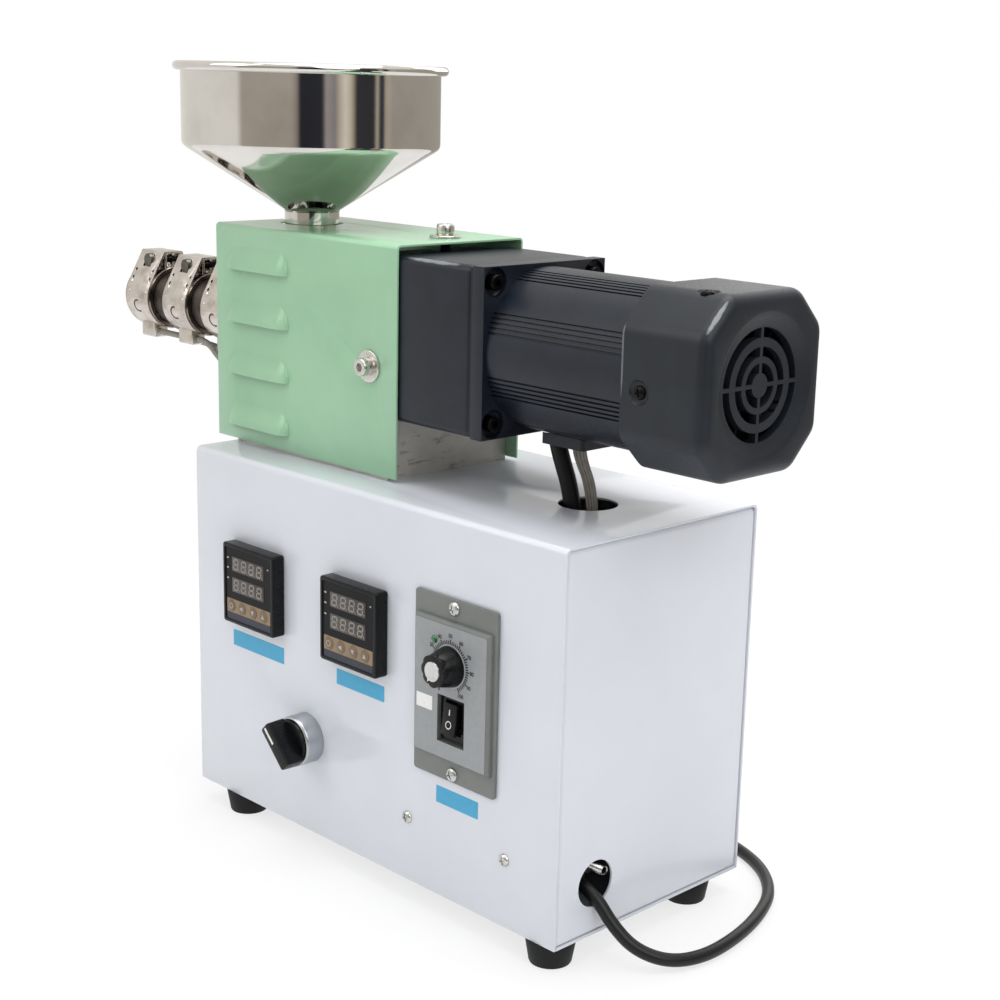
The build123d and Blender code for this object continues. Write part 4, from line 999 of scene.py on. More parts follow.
class EXTRUDER_OT_cabinet(bpy.types.Operator):
    """Folded sheet steel cabinet with its end trays, floor and rubber feet"""

    bl_idname = "extruder.cabinet"
    bl_label = "Cabinet and feet"

    def execute(self, context):
        cabinet = context.scene.extruder_cabinet
        sheet, bend = cabinet.sheet / MM, cabinet.bend / MM
        half, height = (back_y - front_y) / 2, top_z - floor_z
        lay = across(left_x, floor_z, cabinet_y)
        shell = folded_sheet("cabinet_skin", half, height, sheet, bend, right_x - left_x, lay)
        cutters = []
        openings = (
            ("barrel_controller", 22.5, 22.5), ("feed_controller", 22.5, 22.5), ("speed_plate", 25.4, 35.4)
        )
        for node_name, half_wide, half_tall in openings:
            x, z = middle(node_name).xz
            low = (x - half_wide, front_y - 5, z - half_tall)
            cutters.append(block("cutout", low, (x + half_wide, front_y + 5, z + half_tall)))
        x, z = middle("selector_ring").xz
        cutters.append(drill((x, front_y, z), (0, 1, 0), 11.3, 5, 48))
        cutters.append(drill((wire_hole_x, wire_hole_y, top_z), (0, 0, 1), 16, 5, 64))
        cutters.append(drill((lead_hole_x, lead_hole_y, top_z), (0, 0, 1), 6.4, 5))
        soften(cut(shell, *cutters), 0.25, 2, 50)
        dress(shell, "cabinet", ["cabinet_shell"], smooth=40)
        self.tray("cabinet_left_tray", -1, bend, sheet, "cabinet_left_end")
        self.tray("cabinet_right_tray", 1, bend, sheet, "cabinet_right_end")
        dress_node("cabinet_floor", "cabinet")
        profile = [
            (0, 0.6), (3.4, 0.6), (3.6, 0), (10.2, 0), (10.9, 0.3), (11.3, 1.1), (13.3, 12.7), (13.1, 13.3)
        ]
        profile += [(12.6, 13.5), (0, 13.5)]
        for node_name in ("foot_front_left", "foot_front_right", "foot_back_left", "foot_back_right"):
            x, y = middle(node_name).xy
            dress(turned("rubber_" + node_name, profile, (x, y, 0)), "rubber", [node_name])
        return {"FINISHED"}

    def tray(self, name, side, bend, sheet, node_name):
        """An end tray: its outer edge is drawn round, and it is open to the inside."""
        half = (back_y - front_y) / 2 - sheet - 0.3
        top = top_z - floor_z - sheet - 0.3
        deep = 9
        outline = [(-half, 1.5), (half, 1.5)] + arc((half - bend, top - bend), bend, 0, 90, 5)
        outline += arc((-half + bend, top - bend), bend, 90, 180, 5)
        x = right_x - deep if side > 0 else left_x
        tray = plate(name, outline, deep, across(x, floor_z, cabinet_y))
        round_rim(tray, lambda face: face.normal.x * side > 0.9, 2.5, 5)
        pick_faces(tray, lambda face: face.normal.x * side < -0.9)
        bpy.ops.mesh.delete(type="FACE")
        bpy.ops.object.mode_set(mode="OBJECT")
        modify(tray, "SOLIDIFY", thickness=sheet * MM, offset=-1)
        if side > 0:
            cut(tray, drill((right_x, cord_hole_y, 42), (1, 0, 0), 12.6, 4, 64))
        dress(settle(tray, name), "cabinet", [node_name], smooth=40)


# The two square controllers


class EXTRUDER_OT_controllers(bpy.types.Operator):
    """Two square temperature controllers with windows, unlit figures and keys"""

    bl_idname = "extruder.controllers"
    bl_label = "Temperature controllers"

    def execute(self, context):
        for node_name in ("barrel_controller", "feed_controller"):
            x, z = middle(node_name).xz
            self.controller(node_name, x, z, front_y - span(node_name)[0].y)
        return {"FINISHED"}

    def controller(self, node_name, x, z, proud):
        """One controller: case, film, two windows of unlit figures and its keys."""
        face = proud - 0.7
        bezel = soften(plate("bezel", rounded_outline(48, 48, 1.8), proud, on_front(x, z)), 0.8, 3, 60)
        cut(bezel, plate("recess", rounded_outline(43.6, 43.6, 1.4), 3, on_front(x, z, face)))
        inner, deep = 22.2, 60
        low, high = (x - inner, front_y - 0.5, z - inner), (x + inner, front_y + deep, z + inner)
        case = block("case", low, high, 1.0)
        bezel = soften(joined(node_name + "_case", [bezel, case]), 0.15, 2, 50)
        dress(bezel, "black", [node_name], smooth=40)
        film = plate(node_name + "_film", rounded_outline(43, 43, 1.2), 0.15, on_front(x, z, face))
        dress(film, "film")
        windows, figures, keys = [], [], []
        for bottom, top in ((7.9, 16.7), (-4.6, 4.3)):
            level = z + (top + bottom) / 2
            outline = rounded_outline(30.1, top - bottom, 0.7)
            windows.append(
                soften(plate("window", outline, 0.35, on_front(x - 0.25, level, face + 0.1)), 0.2, 2, 60)
            )
            for place in range(4):
                figures.append(self.figure(x - 11.4 + place * 7.3, level, face + 0.43))
        dress(joined(node_name + "_windows", windows), "window")
        dress(joined(node_name + "_figures", figures), "segment")
        for name, tall, drop, finish in (
            ("keypad", 8.3, 13.35, "keypad"), ("foot_strip", 4.6, 20.0, "strip")
        ):
            strip = plate(
                f"{node_name}_{name}",
                rounded_outline(41.4, tall, 0.5),
                0.15,
                on_front(x, z - drop, face + 0.1),
            )
            dress(strip, finish)
        profile = [(0, 0.75), (2.4, 0.7), (3.3, 0.45), (3.6, 0), (3.6, -0.2), (0, -0.2)]
        for place in (-16.1, -6.1, 4.6, 14.4):
            keys.append(turned("key", profile, (x + place, front_y - face - 0.2, z - 13.3), (0, -1, 0), 32))
        dress(joined(node_name + "_keys", keys), "key")
        marks = []
        ring = [(1.35, 0), (1.75, 0), (1.75, 0.12), (1.35, 0.12)]
        marks.append(turned("ring", ring, (x - 16.1, front_y - face - 0.92, z - 13.3), (0, -1, 0), 32, True))
        for place, shape in (
            (-6.1, [(1.3, -1.4), (1.3, 1.4), (-1.5, 0)]),
            (4.6, [(-1.4, 1.2), (0, -1.4), (1.4, 1.2)]),
            (14.4, [(-1.4, -1.2), (1.4, -1.2), (0, 1.4)]),
        ):
            marks.append(plate("arrow", shape, 0.12, on_front(x + place, z - 13.3, face + 0.92)))
        for across_by, rise, wide in (
            (-19.6, 15.1, 1.7), (-19.6, 9.2, 1.7), (-19.6, 2.9, 1.7), (18.6, 15.4, 1.1)
        ):
            marks.append(plate("mark", rounded_outline(wide, 0.9, 0.2, 2), 0.12,
                               on_front(x + across_by, z + rise, face + 0.12)))
        dress(joined(node_name + "_marks", marks), "mark")

    def figure(self, x, z, proud):
        """One unlit seven bar figure with its point, leaning a little to the right."""
        wide, tall, thick = 4.9, 6.9, 0.95
        tip, shoulder = wide / 2 - thick * 0.6, wide / 2 - thick * 1.1
        flat = [(-tip, 0), (-shoulder, thick / 2), (shoulder, thick / 2), (tip, 0), (shoulder, -thick / 2)]
        flat.append((-shoulder, -thick / 2))
        upright = [(0, 0.2), (thick / 2, 0.65), (thick / 2, tall / 2 - 0.95), (0, tall / 2 - 0.5)]
        upright += [(-thick / 2, tall / 2 - 0.95), (-thick / 2, 0.65)]
        bars = [
            [(px, py + rise) for px, py in flat] for rise in (-tall / 2 + thick / 2, 0, tall / 2 - thick / 2)
        ]
        for side in (-1, 1):
            across_by = side * (wide / 2 - thick / 2)
            bars.append([(px + across_by, py) for px, py in upright])
            bars.append([(px + across_by, -py) for px, py in upright])
        bars.append(
            [(px + wide / 2 + 0.75, py - tall / 2 + 0.5) for px, py in rounded_outline(0.8, 0.8, 0.35, 3)]
        )
        pieces = []
        for bar in bars:
            leaning = [(px + 0.12 * py, py) for px, py in bar]
            pieces.append(plate("bar", leaning, 0.06, on_front(x, z, proud)))
        return joined("figure", pieces)


# The speed controller


class EXTRUDER_OT_speed_panel(bpy.types.Operator):
    """Speed controller: grey block with its dial, lamp, screws, recessed rocker and knob"""

    bl_idname = "extruder.speed_panel"
    bl_label = "Speed controller"

    def execute(self, context):
        x, z = middle("speed_plate").xz
        knob_z = middle("speed_knob").z
        rocker_x, rocker_z = middle("power_rocker").xz
        front, recess_z = 5.2, rocker_z - 1.4
        panel = soften(plate("panel", rounded_outline(61.9, 99.9, 1.8), 2, on_front(x, z)), 0.5, 3, 60)
        raised = block("raised", (x - 28.5, front_y - front, z - 38), (x + 28.5, front_y - 1, z + 38))
        round_rim(raised, lambda face: face.normal.y < -0.9, 1.4, 1)
        case = block("case", (x - 25, front_y - 1, z - 35), (x + 25, front_y + 42, z + 35), 1)
        recess_low, recess_high = (rocker_x - 10.1, recess_z - 12.8), (rocker_x + 10.1, recess_z + 12.8)
        for body in (panel, raised):
            low = (recess_low[0], front_y - front - 3, recess_low[1])
            cut(body, block("recess", low, (recess_high[0], front_y + 1, recess_high[1])))
        for body in (panel, raised, case):
            cut(body, drill((x, front_y, knob_z), (0, 1, 0), 3.1, 12, 24))
        floor_low = (recess_low[0] - 0.5, front_y - 1.6, recess_low[1] - 0.5)
        floor = block("recess_floor", floor_low, (recess_high[0] + 0.5, front_y + 0.5, recess_high[1] + 0.5))
        for body in (case, floor):
            low = (rocker_x - 5.8, front_y - 4, rocker_z - 9.2)
            cut(body, block("well", low, (rocker_x + 5.8, front_y + 3.8, rocker_z + 9.2)))
        panel = joined("speed_panel_body", [panel, raised, case, floor])
        dress(panel, "plate", ["speed_plate"], smooth=30)
        self.print_face(x, z, knob_z, rocker_x, recess_z, front)
        self.rocker(rocker_x, rocker_z)
        self.knob(x, knob_z, front + 0.4)
        for name, aside, level in (("panel_screw_top", -0.7, 176.7), ("panel_screw_bottom", -0.5, 86.5)):
            dress(pan_screw(name, (x + aside, front_y - 2, level), (0, -1, 0), 3.9), "zinc")
        return {"FINISHED"}

    def print_face(self, x, z, knob_z, rocker_x, recess_z, front):
        """The speed panel's pale overlay with its dial ring, ticks and numbers."""
        face = plate("speed_panel_face", rounded_outline(53.4, 72.4, 0.6, 3), 0.12, on_front(x, z, front))
        low = (rocker_x - 10.2, front_y - 30, recess_z - 12.9)
        cut(face, block("hole", low, (rocker_x + 10.2, front_y + 5, recess_z + 12.9)))
        cut(face, drill((x, front_y - front, knob_z), (0, 1, 0), 3.3, 9, 24))
        dress(face, "face")
        ring = [(11.05, 0), (11.55, 0), (11.55, 0.2), (11.05, 0.2)]
        dress(
            turned("speed_dial_ring", ring, (x, front_y - front, knob_z), (0, -1, 0), 96, True), "dial_ring"
        )
        ink = []
        tick_count, tick_degrees, first_degrees = 51, 6, 240
        for step in range(tick_count):
            angle = math.radians(first_degrees - step * tick_degrees)
            way = Vector((math.cos(angle), math.sin(angle)))
            outer, half = (14.5, 0.42) if step % 5 == 0 else (13.7, 0.36)
            side = Vector((-way.y, way.x)) * half
            outline = [way * 11.7 + side, way * 11.7 - side, way * outer - side, way * outer + side]
            ink.append(
                plate("tick", [tuple(point) for point in outline], 0.05, on_front(x, knob_z, front + 0.1))
            )
        for step in range(11):
            angle = math.radians(240 - step * 30)
            place = on_front(x + 16.3 * math.cos(angle), knob_z + 16.3 * math.sin(angle), front + 0.13)
            ink.append(number(str(step * 10), 3.0, place))
        dress(joined("speed_dial_print", ink), "ink")
        profile = [(0, 1.6), (1.0, 1.5), (1.7, 1.1), (2.1, 0.5), (2.2, 0), (2.2, -0.2), (0, -0.2)]
        dress(
            turned("speed_lamp", profile, (x - 12, front_y - front, 158.7), (0, -1, 0), 32), "lamp", smooth=50
        )
        outline = rounded_outline(12.2, 7.7, 0.3, 2)
        dress(plate("panel_sticker", outline, 0.12, on_front(x - 19.2, 123.1, front + 0.12)), "sticker")

    def rocker(self, x, z):
        """The rocker stands in a black frame, its lower half out, with a bar above and a ring below."""
        rim = plate("rocker_frame", rounded_outline(19.6, 24, 1.0), 1.5, on_front(x, z - 1, 1.6))
        cut(rim, block("hole", (x - 5.7, front_y - 9, z - 9.1), (x + 5.7, front_y + 9, z + 9.1)))
        dress(soften(rim, 0.35, 3, 50), "black")
        outline = [(7.69, -8.5), (6.3, 0), (5.6, 8.5), (1.2, 7.7), (0.2, 0), (3.3, -7.7)]
        lay = looking((0, -1, 0), (0, 0, 1), (x + 5.1, front_y, z))
        rocker = soften(plate("power_rocker_cap", outline, 10.2, lay), 0.45, 3, 20)
        dress(rocker, "black", ["power_rocker"], "rocker", 30)
        upper = looking((1, 0, 0), (0, 0.082, 1), (x, front_y - 6.01, z + 3.8))
        lower = looking((1, 0, 0), (0, 0.1635, 1), (x, front_y - 6.79, z - 2.9))
        bar = plate("on_mark", rounded_outline(0.7, 3.1, 0.2, 2), 0.06, upper)
        ring = turned("off_mark", [(1.65, 0), (2.15, 0), (2.15, 0.06), (1.65, 0.06)], steps=32, closed=True)
        ring.matrix_world = lower
        dress(joined("power_rocker_marks", [bar, settle(ring)]), "white_mark", (), "rocker")

    def knob(self, x, z, base):
        """A cone that grows into a grip of eight soft lobes under a spun silver cap."""
        cone = [(0, 0), (10.9, 0), (10.9, 0.7), (10.5, 2.4), (9.6, 6.2), (8.7, 9.4), (8.1, 10.8), (0, 10.8)]
        cone = turned("cone", cone, (x, front_y - base, z), (0, -1, 0), 96)
        outline = []
        for index in range(96):
            angle = 2 * math.pi * index / 96
            reach = 8.0 + 0.9 * abs(math.cos(4 * angle)) ** 0.7
            outline.append((reach * math.cos(angle), reach * math.sin(angle)))
        grip = soften(plate("grip", outline, 11.7, on_front(x, z, base + 0.2)), 0.7, 3, 60)
        spindle = turned(
            "spindle", [(0, -6.6), (2.95, -6.6), (2.95, 1), (0, 1)], (x, front_y - base, z), (0, -1, 0), 24
        )
        knob = joined("speed_knob_body", [soften(cone, 0.2, 2, 40), grip, spindle])
        dress(knob, "black", ["speed_knob"], "knob", 40)
        profile = [(0, 0.5), (1.0, 0.52), (4.2, 0.56), (4.7, 0.72), (5.2, 0.62), (5.35, 0), (0, 0)]
        cap = turned("cap", profile, (x, front_y - base - 11.9, z), (0, -1, 0), 64)
        angle = math.radians(240)
        way = Vector((math.cos(angle), math.sin(angle)))
        side = Vector((-way.y, way.x))
        outline = [
            way * 5.0 + side * 0.9, way * 5.0 - side * 0.9, way * 7 - side * 0.15, way * 7 + side * 0.15
        ]
        spike = plate("spike", [tuple(point) for point in outline], 0.3, on_front(x, z, base + 11.88))
        dress(joined("speed_knob_cap", [cap, spike]), "silver_cap", (), "knob")


# The selector switch, nipple, labels and front screws


class EXTRUDER_OT_selector(bpy.types.Operator):
    """Selector switch with its satin ring, black base and blade handle"""

    bl_idname = "extruder.selector"
    bl_label = "Selector switch"

    def execute(self, context):
        x, z = middle("selector_ring").xz
        profile = [
            (14.5, 0), (14.5, 9.9), (14.2, 10.9), (13.6, 11.4), (13.2, 11.5), (12.9, 11.2), (12.9, 7.5)
        ]
        profile += [(4.1, 7.5), (4.1, 1.4), (0, 1.4), (0, -34), (11, -34), (11, 0)]
        ring = turned("selector_ring_trim", profile, (x, front_y, z), (0, -1, 0), 96)
        dress(ring, "chrome", ["selector_ring"])
        profile = [(0, -6), (4, -6), (4, 0), (12.5, 0), (12.5, 4.2), (12.1, 4.9), (11.4, 5.2), (0, 5.2)]
        base = turned("base", profile, (x, front_y - 7.9, z), (0, -1, 0), 72)
        slanted = Matrix.Rotation(math.radians(135), 4, "Z")
        blade = plate("blade", rounded_outline(28, 8.6, 1.6), 12.1, on_front(x, z, 11.9) @ slanted)
        pick_faces(blade, lambda face: face.normal.y < -0.9)
        bpy.ops.transform.resize(value=(0.97, 1, 0.97))
        bpy.ops.object.mode_set(mode="OBJECT")
        handle = joined("selector_handle_blade", [base, soften(blade, 0.7, 3, 50)])
        dress(handle, "black", ["selector_handle"], "handle")
        lay = on_front(x, z, 24.02) @ slanted @ Matrix.Translation((7 * MM, 0, 0))
        dress(
            plate("selector_stripe", rounded_outline(10.6, 1.7, 0.2, 2), 0.1, lay), "white_mark", (), "handle"
        )
        return {"FINISHED"}


class EXTRUDER_OT_front_details(bpy.types.Operator):
    """Blank labels, front screws and the threaded water nipple in the cord hole"""

    bl_idname = "extruder.front_details"
    bl_label = "Labels, screws and nipple"

    def execute(self, context):
        labels = []
        for left, right, low, high in (
            (-117.2, -68.4, 108.6, 118.3), (-20.4, 20.2, 110, 119), (63.1, 95.2, 66.5, 76)
        ):
            lay = on_front(cabinet_x + (left + right) / 2, (low + high) / 2)
            labels.append(plate("label", rounded_outline(right - left, high - low, 0.3, 2), 0.14, lay))
        dress(joined("front_labels", labels), "label")
        for name, aside, level in (("front_screw_left", 40.3, 50), ("front_screw_right", 115.5, 51)):
            dress(pan_screw(name, (cabinet_x + aside, front_y, level), (0, -1, 0), 3.5), "zinc")
        low, high = span("water_nipple")
        y, z = middle("water_nipple").yz
        profile = [(1.9, -2.2), (2.3, -2.0), (2.75, -2.6)]
        for turn in range(12):
            profile += [(2.95, -2.9 - 0.8 * turn), (2.55, -3.3 - 0.8 * turn)]
        profile += [(2.9, -12.4), (1.9, -12.4)]
        thread = turned("thread", profile, (high.x + 2, y, z), (1, 0, 0), 40, True)
        collar = soften(plate("collar", arc((0, 0), 5, 0, 300, 5), 14, across(low.x, z, y)), 0.4, 2)
        cut(collar, drill((low.x, y, z), (1, 0, 0), 1.9, 40, 24))
        dress(joined("threaded_nipple", [thread, collar]), "zinc", ["water_nipple"])
        dress_node("cord_clamp", "black")
        return {"FINISHED"}


# Base, housing, barrel and heater bands


class EXTRUDER_OT_barrel(bpy.types.Operator):
    """Aluminium base, housing and feed block, the barrel with its nozzle and three heater bands"""

    bl_idname = "extruder.barrel"
    bl_label = "Barrel and heater bands"

    def execute(self, context):
        for node_name in ("base_plate", "bearing_housing", "feed_block"):
            dress_node(node_name, "aluminium")
        length = barrel_high.x - barrel_low.x
        start = (barrel_low.x, motor_y, barrel_z)
        body = turned(
            "barrel_tube", [(0, 0), (16.2, 0), (17, 0.8), (17, length), (0, length)], start, (1, 0, 0), 96
        )
        dress(body, "barrel", ["barrel"])
        profile = [(2.2, 0), (15, 0), (15, 4.8), (14.2, 6), (9.5, 6.2), (5.6, 12.6), (5.0, 13), (2.2, 13)]
        dress(turned("nozzle_body", profile, start, (-1, 0, 0), 72, True), "barrel", ["nozzle"])
        for index in range(3):
            node_name = f"heater_band_{index + 1}"
            self.band(node_name, middle(node_name).x)
        return {"FINISHED"}

    def hull(self, radius, half_width, rise):
        """The strap's outline: a circle drawn up to two flat ears."""
        lean = math.degrees(math.atan2(rise, half_width))
        first = lean - math.degrees(math.acos(radius / math.hypot(half_width, rise)))
        return [(half_width, rise)] + arc((0, 0), radius, first, -180 - first, 48) + [(-half_width, rise)]

    def band(self, node_name, x):
        """One eared band heater with its clamp screw and terminal box."""
        lips = [(17.3, -14.25), (19.6, -14.25), (20.2, -13.8), (19.6, -13.3), (19.5, -12)]
        profile = lips + [(radius, -height) for radius, height in reversed(lips)]
        ring = turned("ring", profile, (x, motor_y, barrel_z), (1, 0, 0), 96, True)
        dress(ring, "lip", [node_name])
        ring.name = node_name + "_ring"
        strap = plate("strap", self.hull(20.7, 7, 30), 25.4, across(x - 12.7, barrel_z))
        inside = plate("inside", self.hull(19.55, 5.8, 28.8), 40, across(x - 20, barrel_z))
        low = (x - 4.2, motor_y - 40, barrel_z + 19.9)
        cut(strap, inside, block("window", low, (x + 4.2, motor_y + 40, barrel_z + 28.2)))
        for aside in (-9.6, 9.6):
            for level in (12.5, 17.5):
                cut(strap, drill((x + aside, motor_y, barrel_z + level), (0, 1, 0), 1.1, 40, 16))
        lean = math.radians(196)
        out = Vector((0, math.cos(lean), math.sin(lean)))
        place = (x, motor_y + out.y * 19, barrel_z + out.z * 19)
        clip = arc((0, 0), 4.6, 70, 300, 12) + arc((0, 0), 3.3, 300, 70, 12)
        cut(strap, plate("clip", clip, 5, looking((1, 0, 0), out.cross(Vector((1, 0, 0))), place)))
        pieces = [soften(strap, 0.3, 2, 40)]
        for side in (-1, 1):
            for first, last in ((-12.4, -4.4), (4.4, 12.4)):
                low = (x + first, motor_y + side * 5.4 - 0.9, barrel_z + 19)
                pieces.append(block("ear", low, (x + last, motor_y + side * 5.4 + 0.9, barrel_z + 29.6), 0.5))
        dot = [(0, 0.34), (0.7, 0.26), (1.35, 0), (1.35, -0.2), (0, -0.2)]
        for angle in (150, 170, 190, 210):
            turn = math.radians(angle)
            out = Vector((0, math.cos(turn), math.sin(turn)))
            for aside in (-9.6, 9.6):
                place = (x + aside, motor_y + out.y * 20.7, barrel_z + out.z * 20.7)
                pieces.append(turned("weld", dot, place, out, 12))
        dress(joined(node_name + "_strap", pieces), "band")
        profile = [
            (0, -11.5),
            (4.2, -11.5),
            (4.4, -11),
            (4.4, -7.4),
            (2.5, -7.3),
            (2.5, 10.6),
            (2.1, 11.5),
            (0, 11.5),
        ]
        screw = turned("screw", profile, (x, motor_y, barrel_z + 24), (0, 1, 0), 32)
        lay = looking((1, 0, 0), (0, 0, 1), (x, motor_y + 11, barrel_z + 24))
        nut = soften(plate("nut", arc((0, 0), 4.6, 0, 300, 5), 3.6, lay), 0.3, 2)
        dress(joined(node_name + "_screw", [screw, nut]), "dull_zinc")
        low = (x - 8, motor_y - 12, barrel_z - 26.5)
        dress(block(node_name + "_box", low, (x + 8, motor_y - 2, barrel_z - 15), 1.2), "band")


# Hopper and neck


class EXTRUDER_OT_hopper(bpy.types.Operator):
    """Spun and polished hopper with its rolled rim, and the neck under it"""

    bl_idname = "extruder.hopper"
    bl_label = "Hopper"

    def execute(self, context):
        rim = context.scene.extruder_top.rim_radius / MM
        wall = 1.0
        cone_z, rim_z = hopper_low.z, hopper_high.z - rim
        bowl = (hopper_high.x - hopper_low.x) / 2 - 2 * rim + wall
        bowl_z = cone_z + 37.2
        outer = [(neck_radius, cone_z), (neck_radius + 1.0, cone_z + 0.6), (bowl - 3.2, bowl_z - 2.0)]
        outer += [(bowl - 1.6, bowl_z - 0.8), (bowl - 0.5, bowl_z + 0.5), (bowl, bowl_z + 2.2)]
        # Two close rings at each end keep the tall wall's mirror straight
        outer += [(bowl, bowl_z + 2.8), (bowl, rim_z - rim - 0.3), (bowl, rim_z - rim + 0.4)]
        outer += arc((bowl + rim - wall, rim_z), rim, -130, 180, 22)
        inner = [(bowl - wall, rim_z - 1), (bowl - wall, bowl_z + 2.4), (bowl - wall - 0.5, bowl_z + 1.0)]
        inner += [(bowl - wall - 1.5, bowl_z + 0.1), (bowl - 4.6, bowl_z - 1.6)]
        inner += [(neck_radius - wall, cone_z + 0.2), (neck_radius - wall, cone_z)]
        shell = turned("hopper_shell", outer + inner, (hopper_x, hopper_y, 0), (0, 0, 1), 160, True)
        dress(shell, "polished", ["hopper"], smooth=25)
        low, high = neck_low.z, neck_high.z
        profile = [
            (13.7, low), (16.2, low), (16.2, high - 0.8), (16.7, high - 0.2), (16.7, high), (13.7, high)
        ]
        collar = turned("hopper_collar", profile, (hopper_x, hopper_y, 0), (0, 0, 1), 96, True)
        dress(collar, "polished", ["hopper_neck"], smooth=30)
        return {"FINISHED"}


# The louvred cover


class EXTRUDER_OT_cover(bpy.types.Operator):
    """Folded cover with pressed louvres, held by three cap screws on large washers"""

    bl_idname = "extruder.cover"
    bl_label = "Louvred cover"

    def execute(self, context):
        top = context.scene.extruder_top
        length, tall, deep = top.louvre_length / MM, top.louvre_height / MM, top.louvre_depth / MM
        sheet, bend = 1.2, 2.5
        half = motor_half + 0.6 + sheet
        rise = cover_high.z - cover_low.z
        lay = across(cover_low.x, cover_low.z)
        cover = folded_sheet("cover_skin", half, rise, sheet, bend, cover_high.x - cover_low.x, lay)
        x = cover_low.x + 41
        rows = [top_z + 104 - row * 30.9 for row in range(4)]
        cutters = []
        for edge in rows:
            low = (x - length / 2 + 4, motor_y - 80, edge)
            cutters.append(block("slot", low, (x + length / 2 - 4, motor_y + 80, edge + tall * 0.45)))
        bolt_x, bolt_y = middle("cover_top_bolt").xy
        side_x, _, side_z = middle("cover_front_bolt")
        cutters.append(drill((hopper_x, hopper_y, cover_high.z), (0, 0, 1), 18.7, 6, 72))
        cutters.append(drill((bolt_x, bolt_y, cover_high.z), (0, 0, 1), 3.3))
        cutters.append(drill((side_x, motor_y, side_z), (0, 1, 0), 3.3, 90))
        louvres = [soften(cut(cover, *cutters), 0.2, 2, 50)]
        first = self.louvre(length, tall, deep, sheet * 0.8)
        for edge in rows:
            for side in (-1, 1):
                place = looking((-side, 0, 0), (0, 0, 1), (x, motor_y + side * half, edge))
                louvres.append(copied(first, "louvre", place))
        bpy.data.objects.remove(first)
        dress(joined("cover_sheet", louvres), "cover", ["cover"], smooth=38)
        self.bolt("cover_top_screw", (bolt_x, bolt_y, cover_high.z), (0, 0, 1), "cover_top_bolt")
        self.bolt("cover_front_screw", (side_x, motor_y - half, side_z), (0, -1, 0), "cover_front_bolt")
        self.bolt("cover_back_screw", (side_x, motor_y + half, side_z), (0, 1, 0), "cover_back_bolt")
        return {"FINISHED"}

    def louvre(self, length, tall, deep, sheet):
        """One louvre: pressed out of the sheet, fading into it above, domed at its ends, open below."""
        dome = 9
        straight = length / 2 - dome
        section = []
        for step in range(9):
            share = step / 8
            section.append((-straight, tall * share, deep * math.cos(math.pi / 2 * share) ** 1.25))
        piece = point_start("louvre_form", section[0])
        draw_line(section)
        bpy.ops.mesh.select_mode(type="EDGE")
        bpy.ops.mesh.select_all(action="SELECT")
        bpy.ops.mesh.extrude_edges_move(TRANSFORM_OT_translate={"value": (2 * straight * MM, 0, 0)})
        bpy.ops.object.mode_set(mode="OBJECT")
        for side in (-1, 1):
            end_x = side * straight * MM
            only(piece)
            bpy.ops.object.mode_set(mode="EDIT")
            bpy.ops.mesh.select_mode(type="EDGE")
            bpy.ops.mesh.select_all(action="DESELECT")
            bpy.ops.object.mode_set(mode="OBJECT")
            for edge in piece.data.edges:
                ends = [piece.data.vertices[index].co for index in edge.vertices]
                edge.select = all(abs(end.x - end_x) < 0.00001 for end in ends)
            bpy.ops.object.mode_set(mode="EDIT")
            bpy.ops.mesh.spin(steps=10, angle=-side * math.pi / 2, center=(end_x, 0, 0), axis=(0, 1, 0))
            bpy.ops.object.mode_set(mode="OBJECT")
        for vertex in piece.data.vertices:
            over = abs(vertex.co.x) / MM - straight
            share = min(1, vertex.co.y / (tall * MM))
            section = deep * math.cos(math.pi / 2 * share) ** 1.25
            if over > 0 and section > 0.001:
                over *= dome * math.sqrt(1 - share * share) / section
                vertex.co.x = math.copysign((straight + over) * MM, vertex.co.x)
        outward(piece)
        crown = max(piece.data.polygons, key=lambda face: face.center.z)
        if crown.normal.z < 0:
            only(piece)
            bpy.ops.object.mode_set(mode="EDIT")
            bpy.ops.mesh.select_all(action="SELECT")
            bpy.ops.mesh.flip_normals()
            bpy.ops.object.mode_set(mode="OBJECT")
        return modify(piece, "SOLIDIFY", thickness=sheet * MM, offset=-1)

    def bolt(self, name, place, way, node_name):
        """A cap screw on its washer, with the dark shank behind it."""
        reach = -18.2 if way[2] else -11.5
        washer = [(3.2, 0), (8.8, 0), (9, 0.25), (9, 1.1), (8.75, 1.4), (3.2, 1.4)]
        washer = turned("washer", washer, place, way, 48, True)
        head = cap_screw(Vector(place) + Vector(way) * 1.4, way, 5, 6, 2.6)
        dress(soften(joined(name, [washer, head]), 0.12, 2, 50), "washer", [node_name])
        shank = turned(name + "_shank", [(0, reach), (2.9, reach), (2.9, 1.6), (0, 1.6)], place, way, 24)
        dress(shank, "oxide")


# Gearbox, motor and fan


